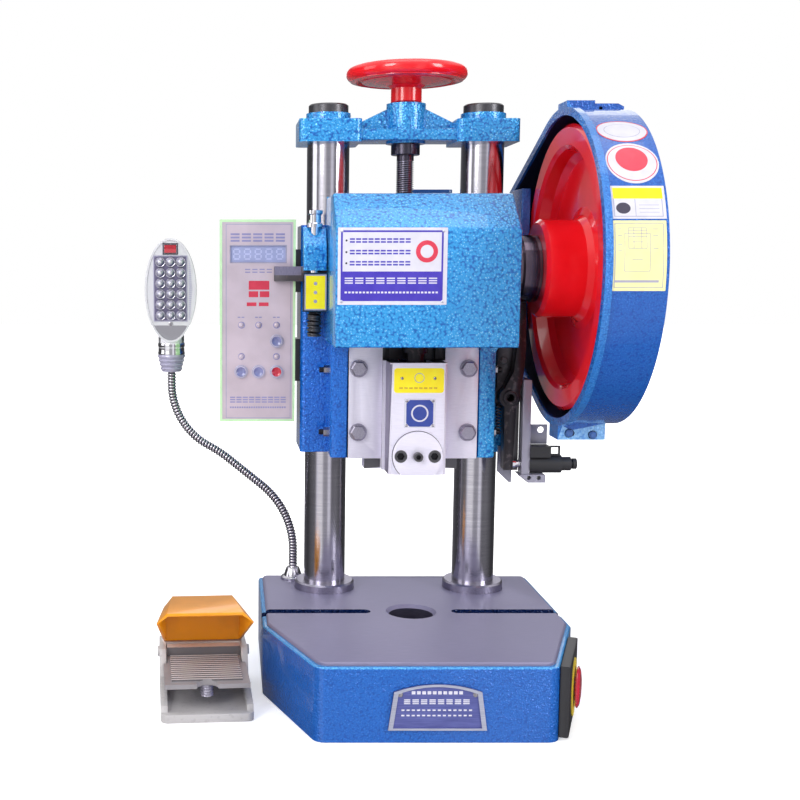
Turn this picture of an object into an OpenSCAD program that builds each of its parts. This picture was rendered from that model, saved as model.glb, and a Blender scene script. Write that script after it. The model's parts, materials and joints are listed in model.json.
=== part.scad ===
/* [Base] */
// Width of the machined table at the back
table_w = 265; // [250:1:300]
// Width of the table's front edge between the two chamfers
table_front_w = 188; // [170:1:200]
// Depth of the table from front to back
table_d = 265; // [250:1:300]
// Distance from the ram axis to the front edge of the table
table_front = 140; // [132:1:150]
// Length of each front chamfer, measured front to back
chamfer_d = 106; // [90:1:115]
// Height of the table over the floor
table_z = 65; // [58:1:80]
// How far the painted casting stands out past the machined table
casting_lip = 4; // [3:0.5:6]
// Drop of the painted edge below the machined table
casting_drop = 3; // [2:0.5:5]
// Wall of the base casting
base_wall = 14; // [10:1:20]
// Thickness of the table over the hollow underside
table_t = 22; // [18:1:28]
// Bore of the drop hole
drop_hole_d = 40; // [30:1:46]
// Width of the two clamping slots
slot_w = 12; // [8:1:16]
// Distance from the ram axis to the round end of each slot
slot_start = 37; // [34:1:50]

/* [Columns] */
// Diameter of the ground columns
column_d = 40; // [36:1:42]
// Distance between the two column axes
column_pitch = 145.6; // [140:0.2:152]
// Distance from the ram axis back to the column axes
column_y = 84.3; // [82:0.1:88]
// Diameter of the collar at the foot of each column
collar_d = 58; // [52:1:64]
// Height of the collar over the table
collar_h = 8; // [6:1:12]

/* [Bridge and screw] */
// Height of the bridge's underside
bridge_z = 492.5; // [488:0.5:520]
// Thickness of the bridge's end blocks
bridge_h = 20.8; // [18:0.2:26]
// Width of each end block
block_w = 58; // [54:1:60]
// Depth of each end block
block_d = 66; // [60:1:72]
// Diameter of the bridge's column bosses
boss_d = 42; // [42:0.5:50]
// Height of the column bosses over the end blocks
boss_h = 7; // [5:0.5:10]
// Diameter of the hub round the lead screw
hub_d = 37; // [34:1:42]
// Height of the hub over the end blocks
hub_rise = 16; // [12:1:20]
// Outer diameter of the lead screw
screw_d = 16.5; // [14:0.5:18]
// Advance of the head for each turn of the lead screw
screw_lead = 4; // [2:0.5:6]
// Diameter of the black collar under the hub
screw_collar_d = 27; // [22:1:30]
// Diameter of the handwheel
wheel_d = 113; // [100:1:130]
// Height of the handwheel's rim
wheel_rim_h = 13; // [10:0.5:16]

/* [Head] */
// Height of the head's underside over the floor
head_z = 205; // [200:1:215]
// Width of the head between its outer strips
head_w = 149; // [146:1:152]
// Height of the column sleeves
sleeve_h = 211; // [190:1:215]
// Width over both column sleeves
sleeve_over_w = 200; // [196:1:206]
// Front face of the column sleeves, behind the ram axis
sleeve_front = 46; // [44:1:48]
// Front face of the head's strips, behind the ram axis
head_front = 11; // [10:0.5:13]
// Width of the hood
hood_w = 155; // [154:1:160]
// Sheet thickness of the hood
hood_t = 2; // [1.5:0.5:3]
// Front face of the hood, ahead of the ram axis
hood_front = 61.5; // [58:0.5:70]
// Lower edge of the hood
hood_z = 311; // [306:1:316]
// Upper edge of the hood's front face
hood_face_z = 410.5; // [405:0.5:416]
// Top of the hood
hood_top_z = 441; // [438:0.5:446]
// Front to back size of the hood's sloping panel
hood_slope_d = 35.5; // [28:0.5:44]
// Thickness of the gib plates
gib_t = 10; // [8:0.5:10]
// Width of each gib plate
gib_w = 30.2; // [28:0.2:32]
// Gap between the two gib plates
gib_gap = 56.4; // [54:0.2:58]
// Height of the gib plates
gib_h = 130; // [120:1:140]

/* [Ram and crank] */
// Width of the ram's front block
ram_w = 50.6; // [46:0.2:52]
// Front face of the ram, ahead of the ram axis
ram_front = 20; // [18:0.5:24]
// Underside of the ram at the top of its stroke
ram_z = 195; // [190:1:200]
// Height of the ram's front block
ram_h = 99.5; // [90:0.5:102]
// Width of the ram's guide flange
flange_w = 85; // [82:0.5:88]
// Thickness of the ram's guide flange
flange_t = 19; // [16:0.5:20]
// Stroke of the ram
stroke = 20; // [12:1:20]
// Bore for the tool shank
tool_bore_d = 20; // [16:1:24]
// Height of the crank axis
crank_z = 376.6; // [374:0.1:380]
// Diameter of the crankshaft in its bearings
shaft_d = 30; // [26:1:32]
// Diameter of the crank pin
pin_d = 36; // [34:1:38]

/* [Flywheel and motor] */
// Diameter of the flywheel
flywheel_d = 250; // [230:1:254]
// Width of the flywheel's rim
flywheel_w = 40; // [34:1:41]
// Left face of the flywheel's rim, right of the ram axis
flywheel_x = 127; // [126:0.5:128]
// Outer radius of the round part of the guard
guard_r = 139; // [136:0.5:145]
// Width of the guard
guard_w = 50; // [48:1:54]
// Open edge of the guard, right of the ram axis
guard_x = 123; // [122:0.5:124]
// Sheet thickness of the guard
guard_t = 2; // [1.5:0.5:3]
// Outer radius of the guard round the motor pulley
guard_tail_r = 68; // [60:1:76]
// Distance from the crank axis back to the motor axis
motor_y = 195; // [190:1:205]
// Diameter of the motor's body
motor_d = 118; // [104:1:124]
// Diameter of the motor pulley
pulley_d = 60; // [50:1:70]

/* [Control box, lamp and stop switch] */
// Width of the control box
box_w = 70; // [60:1:74]
// Height of the control box
box_h = 187; // [170:1:195]
// Depth of the control box
box_d = 50; // [44:1:60]
// Underside of the control box
box_z = 234; // [230:1:242]
// Diameter of the panel's push buttons
button_d = 11; // [9:0.5:12]
// Diameter of the lamp's gooseneck
neck_d = 9; // [8:0.5:10]
// Width of the lamp's head
lamp_w = 50; // [44:1:56]
// Length of the lamp's head
lamp_h = 101; // [96:1:110]
// Thickness of the lamp's head
lamp_t = 28; // [26:1:34]
// Width of the emergency stop box
stop_w = 80; // [60:1:84]
// Height of the emergency stop box
stop_h = 59; // [50:1:60]
// Diameter of the emergency stop mushroom
mushroom_d = 34; // [30:1:44]

/* [Foot switch] */
// Width of the foot switch's body
pedal_w = 78; // [72:1:84]
// Length of the foot switch's body
pedal_d = 108; // [100:1:120]
// Height of the foot switch's hood
pedal_h = 82; // [76:1:90]
// Gap between the base and the foot switch beside it
pedal_gap = 8.5; // [4:0.5:20]
// Distance from the ram axis to the front edge of the foot switch
pedal_front = 102; // [90:1:110]

/* [Hidden] */
$fn = 48;
run = 0.05;          // radial running clearance of shafts and slides
gap = 0.3;           // clearance between pieces that pass each other
eps = 0.01;

table_back = table_d - table_front;
column_x = column_pitch / 2;
block_top = bridge_z + bridge_h;
hub_top = block_top + hub_rise;
bore_r = column_d / 2 + run;
screw_collar_h = 10;
screw_end_z = 330;
nut_w = 34;
nut_h = 26;
sleeve_top = head_z + sleeve_h;
sleeve_w = (sleeve_over_w - column_pitch) / 2;
sleeve_back = column_y + sleeve_w;
gib_back = head_front - 1.5 + gib_t;
gib_front = gib_back - gib_t;
gib_x = gib_gap / 2;
channel_back = gib_back + flange_t + 0.2;
web_back = channel_back + 22;
arm_x = 45;
arm_w = 24;
crank_r = stroke / 2;
pin_z = crank_z + crank_r;
ball_d = 28;
ball_z = ram_z + 86;
side_screw_zs = [head_z + 21.5, head_z + 79];
side_screw_y = 30;
gib_screw_zs = [head_z + 24, head_z + 82];
flywheel_hub_x = flywheel_x - 23;
guard_back_x = guard_x + guard_w;
belt_x = flywheel_x + 26;
belt_w = 10;
belt_t = 6;
motor_x = -38;
motor_l = 140;
lens_pitch = [9.9, 10.3];

trip_x = 89.6;
trip_z = 259.6;
trip_y = [18, 32];
solenoid_z = 197.6;
box_right = -sleeve_over_w / 2 - 5;
box_front = sleeve_front + 2;
button_rows = [75.3, 46.8];
button_cols = [17.3, 34, 50.2];
lamp_foot = [30.5 - table_w / 2, table_back - 10.4];
lamp_foot_r = 12;
spot_t = 0.5;
lamp_reach = 121.2;
lamp_at = [lamp_foot[0] - lamp_reach, lamp_foot[1], 354.7];
stop_at = [(table_front_w / 2 + casting_lip * 0.72), -table_front - casting_lip];
stop_angle = atan2(chamfer_d + casting_lip * 0.83, table_w / 2 + casting_lip - stop_at[0]);
stop_t = 8;
stop_mid = [4 + stop_w / 2, 3 + stop_h / 2];
pedal_x = table_w / 2 + casting_lip + pedal_gap + pedal_w / 2;
pedal_pin = [80, 36];
pedal_deck = 41;
pedal_turn = 4;
// Gooseneck in one plane: each entry is [straight run, bend radius, bend angle to the left]
goose = [[29, 86, 51], [41.7, 132, 10], [2, 70, -61], [12.56, 40, 0]];
neck_sides = 16;
neck_step = 5;
lamp_sides = 64;
lens_top = 27.4;
lens_r = 4.6;
lens_foot = 34;
switch_z = 40;
switch_half = [5.95, 4.35];

// A block with vertical edges rounded at r: x and y are [low, high] pairs
module rounded(x, y, z, r) {
    translate([0, 0, z[0]]) linear_extrude(z[1] - z[0]) union() {
        translate([x[0] + r, y[0]]) square([x[1] - x[0] - 2 * r, y[1] - y[0]]);
        translate([x[0], y[0] + r]) square([x[1] - x[0], y[1] - y[0] - 2 * r]);
        for (i = x, j = y)
            translate([i == x[0] ? i + r : i - r, j == y[0] ? j + r : j - r]) circle(r);
    }
}
// A plain block between [low, high] pairs
module block(x, y, z) {
    translate([x[0], y[0], z[0]]) cube([x[1] - x[0], y[1] - y[0], z[1] - z[0]]);
}
// A rod along X, Y or Z that starts at a point
module rod_x(p, l, r) { translate(p) rotate([0, 90, 0]) cylinder(h = l, r = r); }
module rod_y(p, l, r) { translate(p) rotate([-90, 0, 0]) cylinder(h = l, r = r); }
module rod_z(p, l, r) { translate(p) cylinder(h = l, r = r); }
// A hexagon head or nut along Y, measured across its flats
module hex_y(p, l, flats) {
    translate(p) rotate([-90, 0, 0]) cylinder(h = l, d = flats / cos(30), $fn = 6);
}
module hex_x(p, l, flats) {
    translate(p) rotate([0, 90, 0]) cylinder(h = l, d = flats / cos(30), $fn = 6);
}
module both_sides() {
    children();
    mirror([1, 0, 0]) children();
}

// Plan of the table, grown outwards by g
module table_plan(g = 0) {
    half_back = table_w / 2 + g;
    half_front = table_front_w / 2 + g * 0.72;
    polygon([[-half_front, -table_front - g], [half_front, -table_front - g],
        [half_back, chamfer_d - table_front - g * 0.17], [half_back, table_back + g],
        [-half_back, table_back + g], [-half_back, chamfer_d - table_front - g * 0.17]]);
}
module base_casting() {
    foot = casting_lip;
    boss_r = drop_hole_d / 2 + 12;
    color("dodgerblue") difference() {
        union() {
            linear_extrude(table_z) table_plan();
            linear_extrude(table_z - casting_drop) table_plan(foot);
        }
        // the underside is hollow, with a boss for the drop hole, column bosses and ribs
        difference() {
            translate([0, 0, -eps]) linear_extrude(table_z - table_t) table_plan(foot - base_wall);
            rod_z([0, 0, -1], table_z, boss_r);
            for (s = [-1, 1]) rod_z([s * column_x, column_y, -1], table_z, collar_d / 2);
            for (s = [-1, 1]) block([s * column_x - 5, s * column_x + 5], [-table_d, table_d], [4, table_z]);
            block([-table_w, table_w], [-5, 5], [4, table_z]);
        }
        rod_z([0, 0, -1], table_z + 2, drop_hole_d / 2);
        translate([0, 0, table_z - 3]) cylinder(h = 3 + eps, r1 = drop_hole_d / 2, r2 = drop_hole_d / 2 + 3);
        for (s = [-1, 1]) {
            rod_z([s * column_x, column_y, table_z - 52], 60, column_d / 2);
            rod_z([s * column_x, column_y, table_z - spot_t], 1, collar_d / 2 + gap);
        }
        rod_z([lamp_foot[0], lamp_foot[1], table_z - spot_t], 1, lamp_foot_r + gap);
        both_sides() {
            rod_z([slot_start + slot_w / 2, 0, table_z - 14], 20, slot_w / 2);
            block([slot_start + slot_w / 2, table_w], [-slot_w / 2, slot_w / 2], [table_z - 14, table_z + 1]);
        }
    }
}
// Arched plate with a raised frame and two rivets on the front of the base
module nameplate_outline() {
    intersection() {
        polygon([[-39.5, 0], [39.5, 0], [34, 40], [-34, 40]]);
        translate([0, -62]) circle(100);
    }
}
module nameplate() {
    color("lightsteelblue")
    translate([0, -table_front - casting_lip, 11]) rotate([90, 0, 0]) {
        linear_extrude(1.2) nameplate_outline();
        linear_extrude(2.2) difference() {
            nameplate_outline();
            translate([0, 2.4]) scale(0.88) nameplate_outline();
        }
        for (s = [-1, 1]) translate([s * 31, 3.6, 1.2]) cylinder(h = 1.6, r = 1.5);
    }
}
// A ground column from its socket in the base to the top of the bridge boss
module column(s) {
    color("silver") translate([s * column_x, column_y, table_z - 52]) {
        cylinder(h = block_top + boss_h - table_z + 52, r = column_d / 2, $fn = 96);
    }
}
module column_left() { column(-1); }
module column_right() { column(1); }
module column_collars() {
    color("gainsboro") both_sides() difference() {
        translate([column_x, column_y, table_z]) rotate_extrude($fn = 96)
            polygon([[0, -spot_t], [collar_d / 2, -spot_t], [collar_d / 2, collar_h - 1.5],
                [collar_d / 2 - 1.5, collar_h], [0, collar_h]]);
        rod_z([column_x, column_y, table_z - 1], collar_h + 2, column_d / 2);
    }
}
// Cast bridge: two end blocks, a hub for the lead screw and sloping arms between them
module bridge() {
    inner = column_x - block_w / 2;
    outer = column_x + block_w / 2;
    yf = column_y - block_d / 2 + 3;
    color("dodgerblue") difference() {
        union() {
            both_sides() {
                rounded([inner, outer], [yf, yf + block_d], [bridge_z, block_top], 6);
                rod_z([column_x, column_y, block_top - eps], boss_h + eps, boss_d / 2);
                // arm with a flange below and a rib that rises to the hub
                block([0, inner + 4], [column_y - 24, column_y + 24], [bridge_z + 2, bridge_z + 12]);
                translate([0, column_y + 4, 0]) rotate([90, 0, 0]) linear_extrude(8)
                    polygon([[0, bridge_z + 11], [inner + 4, bridge_z + 11],
                        [inner + 4, block_top - 3], [hub_d / 2 - 4, hub_top - 3], [0, hub_top - 3]]);
            }
            rod_z([0, column_y, bridge_z], hub_top - bridge_z, hub_d / 2);
        }
        both_sides() rod_z([column_x, column_y, bridge_z - 1], bridge_h + boss_h + 2, column_d / 2);
        rod_z([0, column_y, bridge_z - 1], hub_top, screw_d / 2 + run);
    }
}
module column_caps() {
    color("dimgray") both_sides() translate([column_x, column_y, block_top + boss_h])
        rotate_extrude() polygon([[0, 0], [18.7, 0], [18.7, 7.2], [17.4, 8.5], [6, 8.5], [5, 6], [0, 6]]);
}
module handwheel() {
    z = hub_top + 1;
    rim = z + 20;
    r = wheel_d / 2;
    color("red") translate([0, column_y, 0]) difference() {
        rotate_extrude($fn = 96) {
            polygon([[6, z], [13.5, z], [14.5, z + 1], [14.5, z + 13], [18, z + 15.5],
                [r - 15, rim - 1], [r - 12, rim + 1.5], [r - 9, rim - 1], [r - 4, rim],
                [r - 4, rim + wheel_rim_h - 3], [r - 11, rim + wheel_rim_h - 4], [17, z + 21],
                [13, z + 24], [6, z + 24]]);
            translate([r - wheel_rim_h / 2, rim + wheel_rim_h / 2]) circle(wheel_rim_h / 2);
        }
        rod_z([0, 0, z - 1], 40, 6.02);
    }
}
// Lead screw with its shoulder collar, and a nut over the handwheel
module lead_screw() {
    color("dimgray") translate([0, column_y, 0]) {
        rod_z([0, 0, screw_end_z], hub_top - screw_end_z + 0.7, screw_d / 2);
        rod_z([0, 0, bridge_z - gap - screw_collar_h], screw_collar_h, screw_collar_d / 2);
        rod_z([0, 0, hub_top], 33, 6);
        translate([0, 0, hub_top + 25]) cylinder(h = 7, d = 19 / cos(30), $fn = 6);
    }
}
module lift_nut() {
    color("goldenrod") translate([0, column_y, sleeve_top + 4 - nut_h]) difference() {
        union() {
            cylinder(h = nut_h, d = nut_w);
            translate([0, 0, nut_h]) cylinder(h = 5, d = nut_w + 12);
        }
        rod_z([0, 0, -1], nut_h + 8, screw_d / 2 + run);
    }
}
// One casting: two split sleeves, the ram's guideway and the arms of the crank bearings
module head_casting() {
    half = head_w / 2;
    block_z = hood_top_z - hood_t;
    color("dodgerblue") difference() {
        union() {
            both_sides() {
                rounded([column_x - sleeve_w, column_x + sleeve_w], [sleeve_front, sleeve_back],
                    [head_z, sleeve_top], 5);
                rod_x([arm_x, 0, crank_z], arm_w, 27);
                block([arm_x, arm_x + arm_w], [0, head_front + 1], [crank_z - 27, crank_z + 27]);
                rod_y([half - 8, head_front - 7, hood_z - 3], 8, 8);
            }
            block([-half, half], [head_front, web_back], [head_z, block_z]);
            rod_z([0, column_y, sleeve_top - 22], 26, nut_w / 2 + 9);
            block([-column_x + 20, column_x - 20], [web_back - 2, column_y + 12], [sleeve_top - 22, sleeve_top - 6]);
        }
        both_sides() {
            rod_z([column_x, column_y, head_z - 1], sleeve_h + 2, bore_r);
            for (z = side_screw_zs) rod_x([half - 12, side_screw_y, z], 16, 2.6);
            for (z = gib_screw_zs) rod_y([gib_x + 21.3, 0, z], web_back - 12, 4.1);
            rod_x([arm_x - 1, 0, crank_z], half - arm_x + 2, shaft_d / 2 + 4);
        }
        // gib recess, ram guideway and crank chamber
        block([-gib_x - gib_w - 0.1, gib_x + gib_w + 0.1], [0, gib_back], [head_z - 1, head_z + gib_h + 1]);
        block([-flange_w / 2 - run, flange_w / 2 + run], [0, channel_back], [head_z - 1, crank_z - 20]);
        rod_x([-arm_x, 0, crank_z], 2 * arm_x, 44);
        rod_x([-half - 1, 0, crank_z], half - arm_x - arm_w + 0.7, 35);
        block([-half - 1, -arm_x - arm_w + 0.3], [0, sleeve_front + 1], [crank_z - 14, crank_z + 3]);
        rod_z([0, column_y, sleeve_top - 30], 60, nut_w / 2 + 0.02);
        rod_z([0, column_y, head_z - 1], sleeve_top, screw_d / 2 + 2);
    }
}
// Sheet cover over the crank, open below and behind
module hood() {
    half = hood_w / 2;
    color("deepskyblue") difference() {
        translate([-half, 0, 0]) rotate([90, 0, 90]) linear_extrude(hood_w)
            polygon([[-hood_front, hood_z], [-hood_front, hood_face_z],
                [-hood_front + hood_slope_d, hood_top_z], [sleeve_front - 10, hood_top_z],
                [sleeve_front - 10, hood_z]]);
        translate([-half + hood_t, 0, 0]) rotate([90, 0, 90]) linear_extrude(hood_w - 2 * hood_t)
            polygon([[-hood_front + hood_t, hood_z - 1],
                [-hood_front + hood_t, hood_face_z - hood_t * 0.4],
                [-hood_front + hood_slope_d + hood_t * 0.3, hood_top_z - hood_t],
                [sleeve_front, hood_top_z - hood_t], [sleeve_front, hood_z - 1]]);
        rod_x([half - hood_t - 1, 0, crank_z], hood_t + 2, shaft_d / 2 + 17);
    }
}
module gib(s) {
    color("gainsboro") difference() {
        block([s > 0 ? gib_x : -gib_x - gib_w, s > 0 ? gib_x + gib_w : -gib_x],
            [gib_front, gib_back], [head_z, head_z + gib_h]);
        for (z = gib_screw_zs)
            rod_y([s * (gib_x + 21.3), gib_front - 1, z], gib_t + 2, 4.1);
    }
}
module gib_left() { gib(-1); }
module gib_right() { gib(1); }
module gib_screws() {
    color("silver") both_sides() for (z = gib_screw_zs) {
        hex_y([gib_x + 21.3, gib_front - 5.5, z], 5.5, 13);
        rod_y([gib_x + 21.3, gib_front - 1, z], gib_t + 14, 4);
    }
}
// Set screws with lock nuts that bear on the gibs through the head's sides
module side_screws() {
    x = head_w / 2;
    color("silver") both_sides() for (z = side_screw_zs) {
        hex_x([x, side_screw_y, z], 5, 7.5);
        rod_x([x - 12, side_screw_y, z], 21, 2.5);
    }
}
module crank_bushes() {
    color("goldenrod") both_sides() difference() {
        rod_x([arm_x, 0, crank_z], arm_w, shaft_d / 2 + 3.98);
        rod_x([arm_x - 1, 0, crank_z], arm_w + 2, shaft_d / 2 + run);
    }
}
// Crankshaft with its pin at the top of the stroke; the left end is the brake drum
module crankshaft() {
    web_x = 16;
    web_t = 12;
    color("silver") union() {
        rod_x([-web_x, 0, pin_z], 2 * web_x, pin_d / 2);
        both_sides() rod_x([web_x, 0, crank_z], web_t, 31);
        rod_x([-head_w / 2 - 0.3, 0, crank_z], head_w / 2 + 0.3 - web_x, shaft_d / 2);
        rod_x([web_x, 0, crank_z], flywheel_hub_x + 56 - web_x, shaft_d / 2);
        rod_x([flywheel_hub_x + 56, 0, crank_z], 9, 10);
        rod_x([-head_w / 2 - 0.3, 0, crank_z], head_w / 2 - arm_x - arm_w, 32);
    }
}
module clutch_sleeve() {
    x0 = hood_w / 2 + 1.5;
    x1 = flywheel_hub_x - gap;
    color("dimgray") difference() {
        union() {
            rod_x([x0, 0, crank_z], x1 - x0, 25);
            rod_x([x0 + 10, 0, crank_z], x1 - x0 - 10, 29.5);
        }
        rod_x([x0 - 1, 0, crank_z], x1 - x0 + 2, shaft_d / 2 + 0.02);
        block([x0 + 12, x1 + 1], [-4, 4], [crank_z + 18, crank_z + 32]);
        block([x0 + 14, x1 - 4], [-5, 5], [crank_z - 32, crank_z - 25]);
    }
}
// Connecting rod: big end on the crank pin, split boss for the ball screw below
module conrod() {
    color("slategray") difference() {
        union() {
            rod_x([-15.7, 0, pin_z], 31.4, pin_d / 2 + 11);
            block([-14, 14], [-14, 14], [ball_z + 43, pin_z - 18]);
            rod_z([0, 0, ball_z + 43], 12, 17);
        }
        rod_x([-17, 0, pin_z], 34, pin_d / 2 + run);
        rod_z([0, 0, ball_z + 40], 32, 11.02);
    }
}
module ball_screw() {
    color("dimgray") {
        translate([0, 0, ball_z]) sphere(d = ball_d);
        rod_z([0, 0, ball_z + 10], 12, 8);
        rod_z([0, 0, ball_z + 21], 50, 11);
        translate([0, 0, ball_z + 33]) cylinder(h = 9, d = 32 / cos(30), $fn = 6);
    }
}
// Ram: front block, neck between the gibs and wide flange behind them
module ram() {
    top = ram_z + ram_h;
    pocket_r = ball_d / 2 + 0.4;
    color("gainsboro") difference() {
        union() {
            difference() {
                block([-ram_w / 2, ram_w / 2], [-ram_front, gib_front], [ram_z, top]);
                both_sides() translate([ram_w / 2, -ram_front, ram_z - 1])
                    rotate([0, 0, 45]) cube([3, 3, 2 * ram_h], center = true);
            }
            block([-gib_x + gap, gib_x - gap], [gib_front - 3, gib_back + 0.2], [ram_z, top]);
            block([-flange_w / 2, flange_w / 2], [gib_back + 0.2, channel_back - 0.2], [ram_z - 1, ram_z + 139]);
        }
        rod_z([0, 0, ram_z - 2], 44, tool_bore_d / 2);
        rod_y([0, -ram_front - 1, ram_z + 17], 15, 22.1);
        for (y = [0, crank_r]) rod_z([0, y, ball_z - pocket_r - 2.2], ram_h, pocket_r);
        block([-pocket_r, pocket_r], [0, crank_r], [ball_z - pocket_r - 2.2, ram_z + 140]);
        block([-21, 21], [gib_back - 1, gib_back + 8.5], [top - 0.5, ram_z + 140]);
    }
}
module die_clamp() {
    color("lightgray") difference() {
        rod_y([0, -ram_front - 3, ram_z + 17], 17, 22);
        block([-30, 30], [-ram_front - 5, 0], [ram_z - 20, ram_z]);
        rod_z([0, 0, ram_z - 2], 60, tool_bore_d / 2);
        for (s = [-1, 1]) rod_y([s * 14.9, -ram_front - 4, ram_z + 17], 6, 5.7);
        rod_y([0, -ram_front - 4, ram_z + 17], 40, 4.1);
    }
}
// Two socket screws and a set screw that bears on the tool shank
module die_screws() {
    color("dimgray") translate([0, -ram_front - 3, ram_z + 17]) {
        for (s = [-1, 1]) difference() {
            rod_y([s * 14.9, 0.5, 0], 4.5, 5.5);
            translate([s * 14.9, 0, 0]) rotate([-90, 0, 0]) cylinder(h = 3, d = 6 / cos(30), $fn = 6);
        }
        difference() {
            rod_y([0, -5, 0], 17.5, 4);
            translate([0, -6, 0]) rotate([-90, 0, 0]) cylinder(h = 4, d = 4 / cos(30), $fn = 6);
        }
    }
}
// Flywheel: dished web between a wide rim and a long hub, with a belt groove in the rim
module flywheel() {
    r = flywheel_d / 2;
    hub_r = 43;
    rim_in = r - 21;
    color("red") translate([0, 0, crank_z]) rotate([0, 90, 0]) rotate_extrude($fn = 128) difference() {
        polygon([[shaft_d / 2 + run, flywheel_hub_x], [hub_r - 3, flywheel_hub_x],
            [hub_r, flywheel_hub_x + 3], [hub_r, flywheel_x + 11], [hub_r + 4, flywheel_x + 16],
            [hub_r + 11, flywheel_x + 18], [rim_in - 8, flywheel_x + 18], [rim_in - 2, flywheel_x + 13],
            [rim_in, flywheel_x + 3],
            [rim_in + 3, flywheel_x], [r - 3, flywheel_x], [r, flywheel_x + 3],
            [r, flywheel_x + flywheel_w - 2], [r - 2, flywheel_x + flywheel_w],
            [rim_in + 1, flywheel_x + flywheel_w], [rim_in - 2, flywheel_x + 30],
            [hub_r + 8, flywheel_x + 28], [hub_r, flywheel_hub_x + 56],
            [shaft_d / 2 + run, flywheel_hub_x + 56]]);
        translate([r - belt_t + 1 - gap, belt_x - belt_w / 2 - gap]) square([belt_t + 2, belt_w + 2 * gap]);
    }
}
module flywheel_nut() {
    color("dimgray") difference() {
        hex_x([flywheel_hub_x + 56 + gap, 0, crank_z], 8.5, 36);
        rod_x([flywheel_hub_x + 56, 0, crank_z], 10, 10.02);
    }
}
// Outline round the flywheel and the motor pulley: two circles and their outer tangents
module teardrop(r1, r2) {
    hull() {
        circle(r1, $fn = 144);
        translate([motor_y, 0]) circle(r2, $fn = 144);
    }
}
module teardrop_plate(x, t, r1, r2) {
    translate([x, 0, crank_z]) rotate([90, 0, 90]) linear_extrude(t) teardrop(r1, r2);
}
module drive_belt() {
    big = flywheel_d / 2 + 1;
    small = pulley_d / 2 + 1;
    color("black") difference() {
        teardrop_plate(belt_x - belt_w / 2, belt_w, big, small);
        teardrop_plate(belt_x - belt_w / 2 - 1, belt_w + 2, big - belt_t, small - belt_t);
    }
}
// Guard: band with a turned-in lip, closed on the outer side, with a lug above and below
module guard() {
    lip = 7;
    rim_w = 6;
    band_r = guard_r - guard_t;
    color("royalblue") difference() {
        union() {
            teardrop_plate(guard_x, rim_w, guard_r, guard_tail_r);
            teardrop_plate(guard_x, guard_w, band_r, guard_tail_r - guard_t);
            block([guard_x + 2, guard_back_x - 6], [-14, 14],
                [crank_z - guard_r - 12, crank_z - guard_r + 8]);
            translate([guard_x, 14, crank_z + guard_r]) rotate([90, 0, 0]) linear_extrude(28)
                polygon([[1, -8], [1, 4.7], [25, 4.7], [25, 2.1], [guard_w - 5, 2.1],
                    [guard_w, -0.5], [guard_w, -8]]);
        }
        teardrop_plate(guard_x + 2.5, guard_w - 2.5 - guard_t, band_r - guard_t,
            guard_tail_r - 2 * guard_t);
        teardrop_plate(guard_x - 1, 5, guard_r - lip, guard_tail_r - lip);
        rod_y([guard_x + 30, -20, crank_z + guard_r - 2], 40, 1.6);
        rod_y([guard_x + 14, -20, crank_z - guard_r - 6], 40, 3);
    }
}
// Bracket on the right sleeve's back: an upright at the guard's open side, with two posts
// that run inside the belt to the guard's outer wall
module guard_bracket() {
    color("royalblue") {
        block([column_x - 14, guard_x - 2], [sleeve_back, sleeve_back + 6], [crank_z - 106, sleeve_top - 4]);
        block([guard_x - 6, guard_x + 2.2], [sleeve_back - 4, sleeve_back + 40], [crank_z - 60, crank_z + 76]);
        for (z = [-40, 40]) rod_x([guard_x, sleeve_back + 28, crank_z + z], guard_w - guard_t, 5);
    }
}
// Motor on its foot, with a terminal box on top and cooling ribs round the body
module motor() {
    r = motor_d / 2;
    color("steelblue") difference() {
        union() {
            rod_x([motor_x, motor_y, crank_z], motor_l, r - 5);
            rod_x([motor_x, motor_y, crank_z], 12, r);
            rod_x([motor_x + motor_l - 14, motor_y, crank_z], 14, r);
            rod_x([motor_x + motor_l, motor_y, crank_z], 8, 24);
            for (a = [0:15:345]) if (a < 150 || a > 210)
                translate([motor_x, motor_y, crank_z]) rotate([a + 90, 0, 0])
                    translate([0, -1.2, 0]) cube([motor_l, 2.4, r - 1]);
            block([motor_x + 30, motor_x + 110], [sleeve_back + 8, motor_y - r + 14],
                [crank_z - 36, crank_z + 36]);
            rounded([motor_x + 52, motor_x + 100], [motor_y - 22, motor_y + 22],
                [crank_z + r - 12, crank_z + r + 20], 4);
        }
        rod_x([motor_x + motor_l - 30, motor_y, crank_z], 60, 9 + run);
    }
}
module fan_cowl() {
    r = motor_d / 2 - 1;
    color("steelblue") difference() {
        rod_x([motor_x - 36, motor_y, crank_z], 36, r);
        rod_x([motor_x - 34, motor_y, crank_z], 35, r - 2);
        for (a = [0:30:330]) translate([motor_x - 37, motor_y, crank_z]) rotate([a, 0, 0])
            translate([0, -3, 18]) cube([4, 6, r - 28]);
    }
}
module motor_bracket() {
    color("dodgerblue") difference() {
        block([-column_x - 12, guard_x - 66], [sleeve_back, sleeve_back + 8], [crank_z - 60, sleeve_top - 8]);
        rod_y([0, sleeve_back - 1, crank_z - 46], 12, 8);
    }
}
module motor_pulley() {
    r = pulley_d / 2;
    color("gray") difference() {
        union() {
            rod_x([motor_x + motor_l - 28, motor_y, crank_z], belt_x + 10 - motor_x - motor_l + 28, 9);
            rod_x([belt_x - 8, motor_y, crank_z], 16, r + 2);
        }
        translate([0, motor_y, crank_z]) rotate([0, 90, 0]) translate([0, 0, belt_x - belt_w / 2 - gap])
            difference() {
                cylinder(h = belt_w + 2 * gap, r = r + 9);
                translate([0, 0, -1]) cylinder(h = belt_w + 3, r = r - belt_t + 1 - gap);
            }
    }
}
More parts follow.
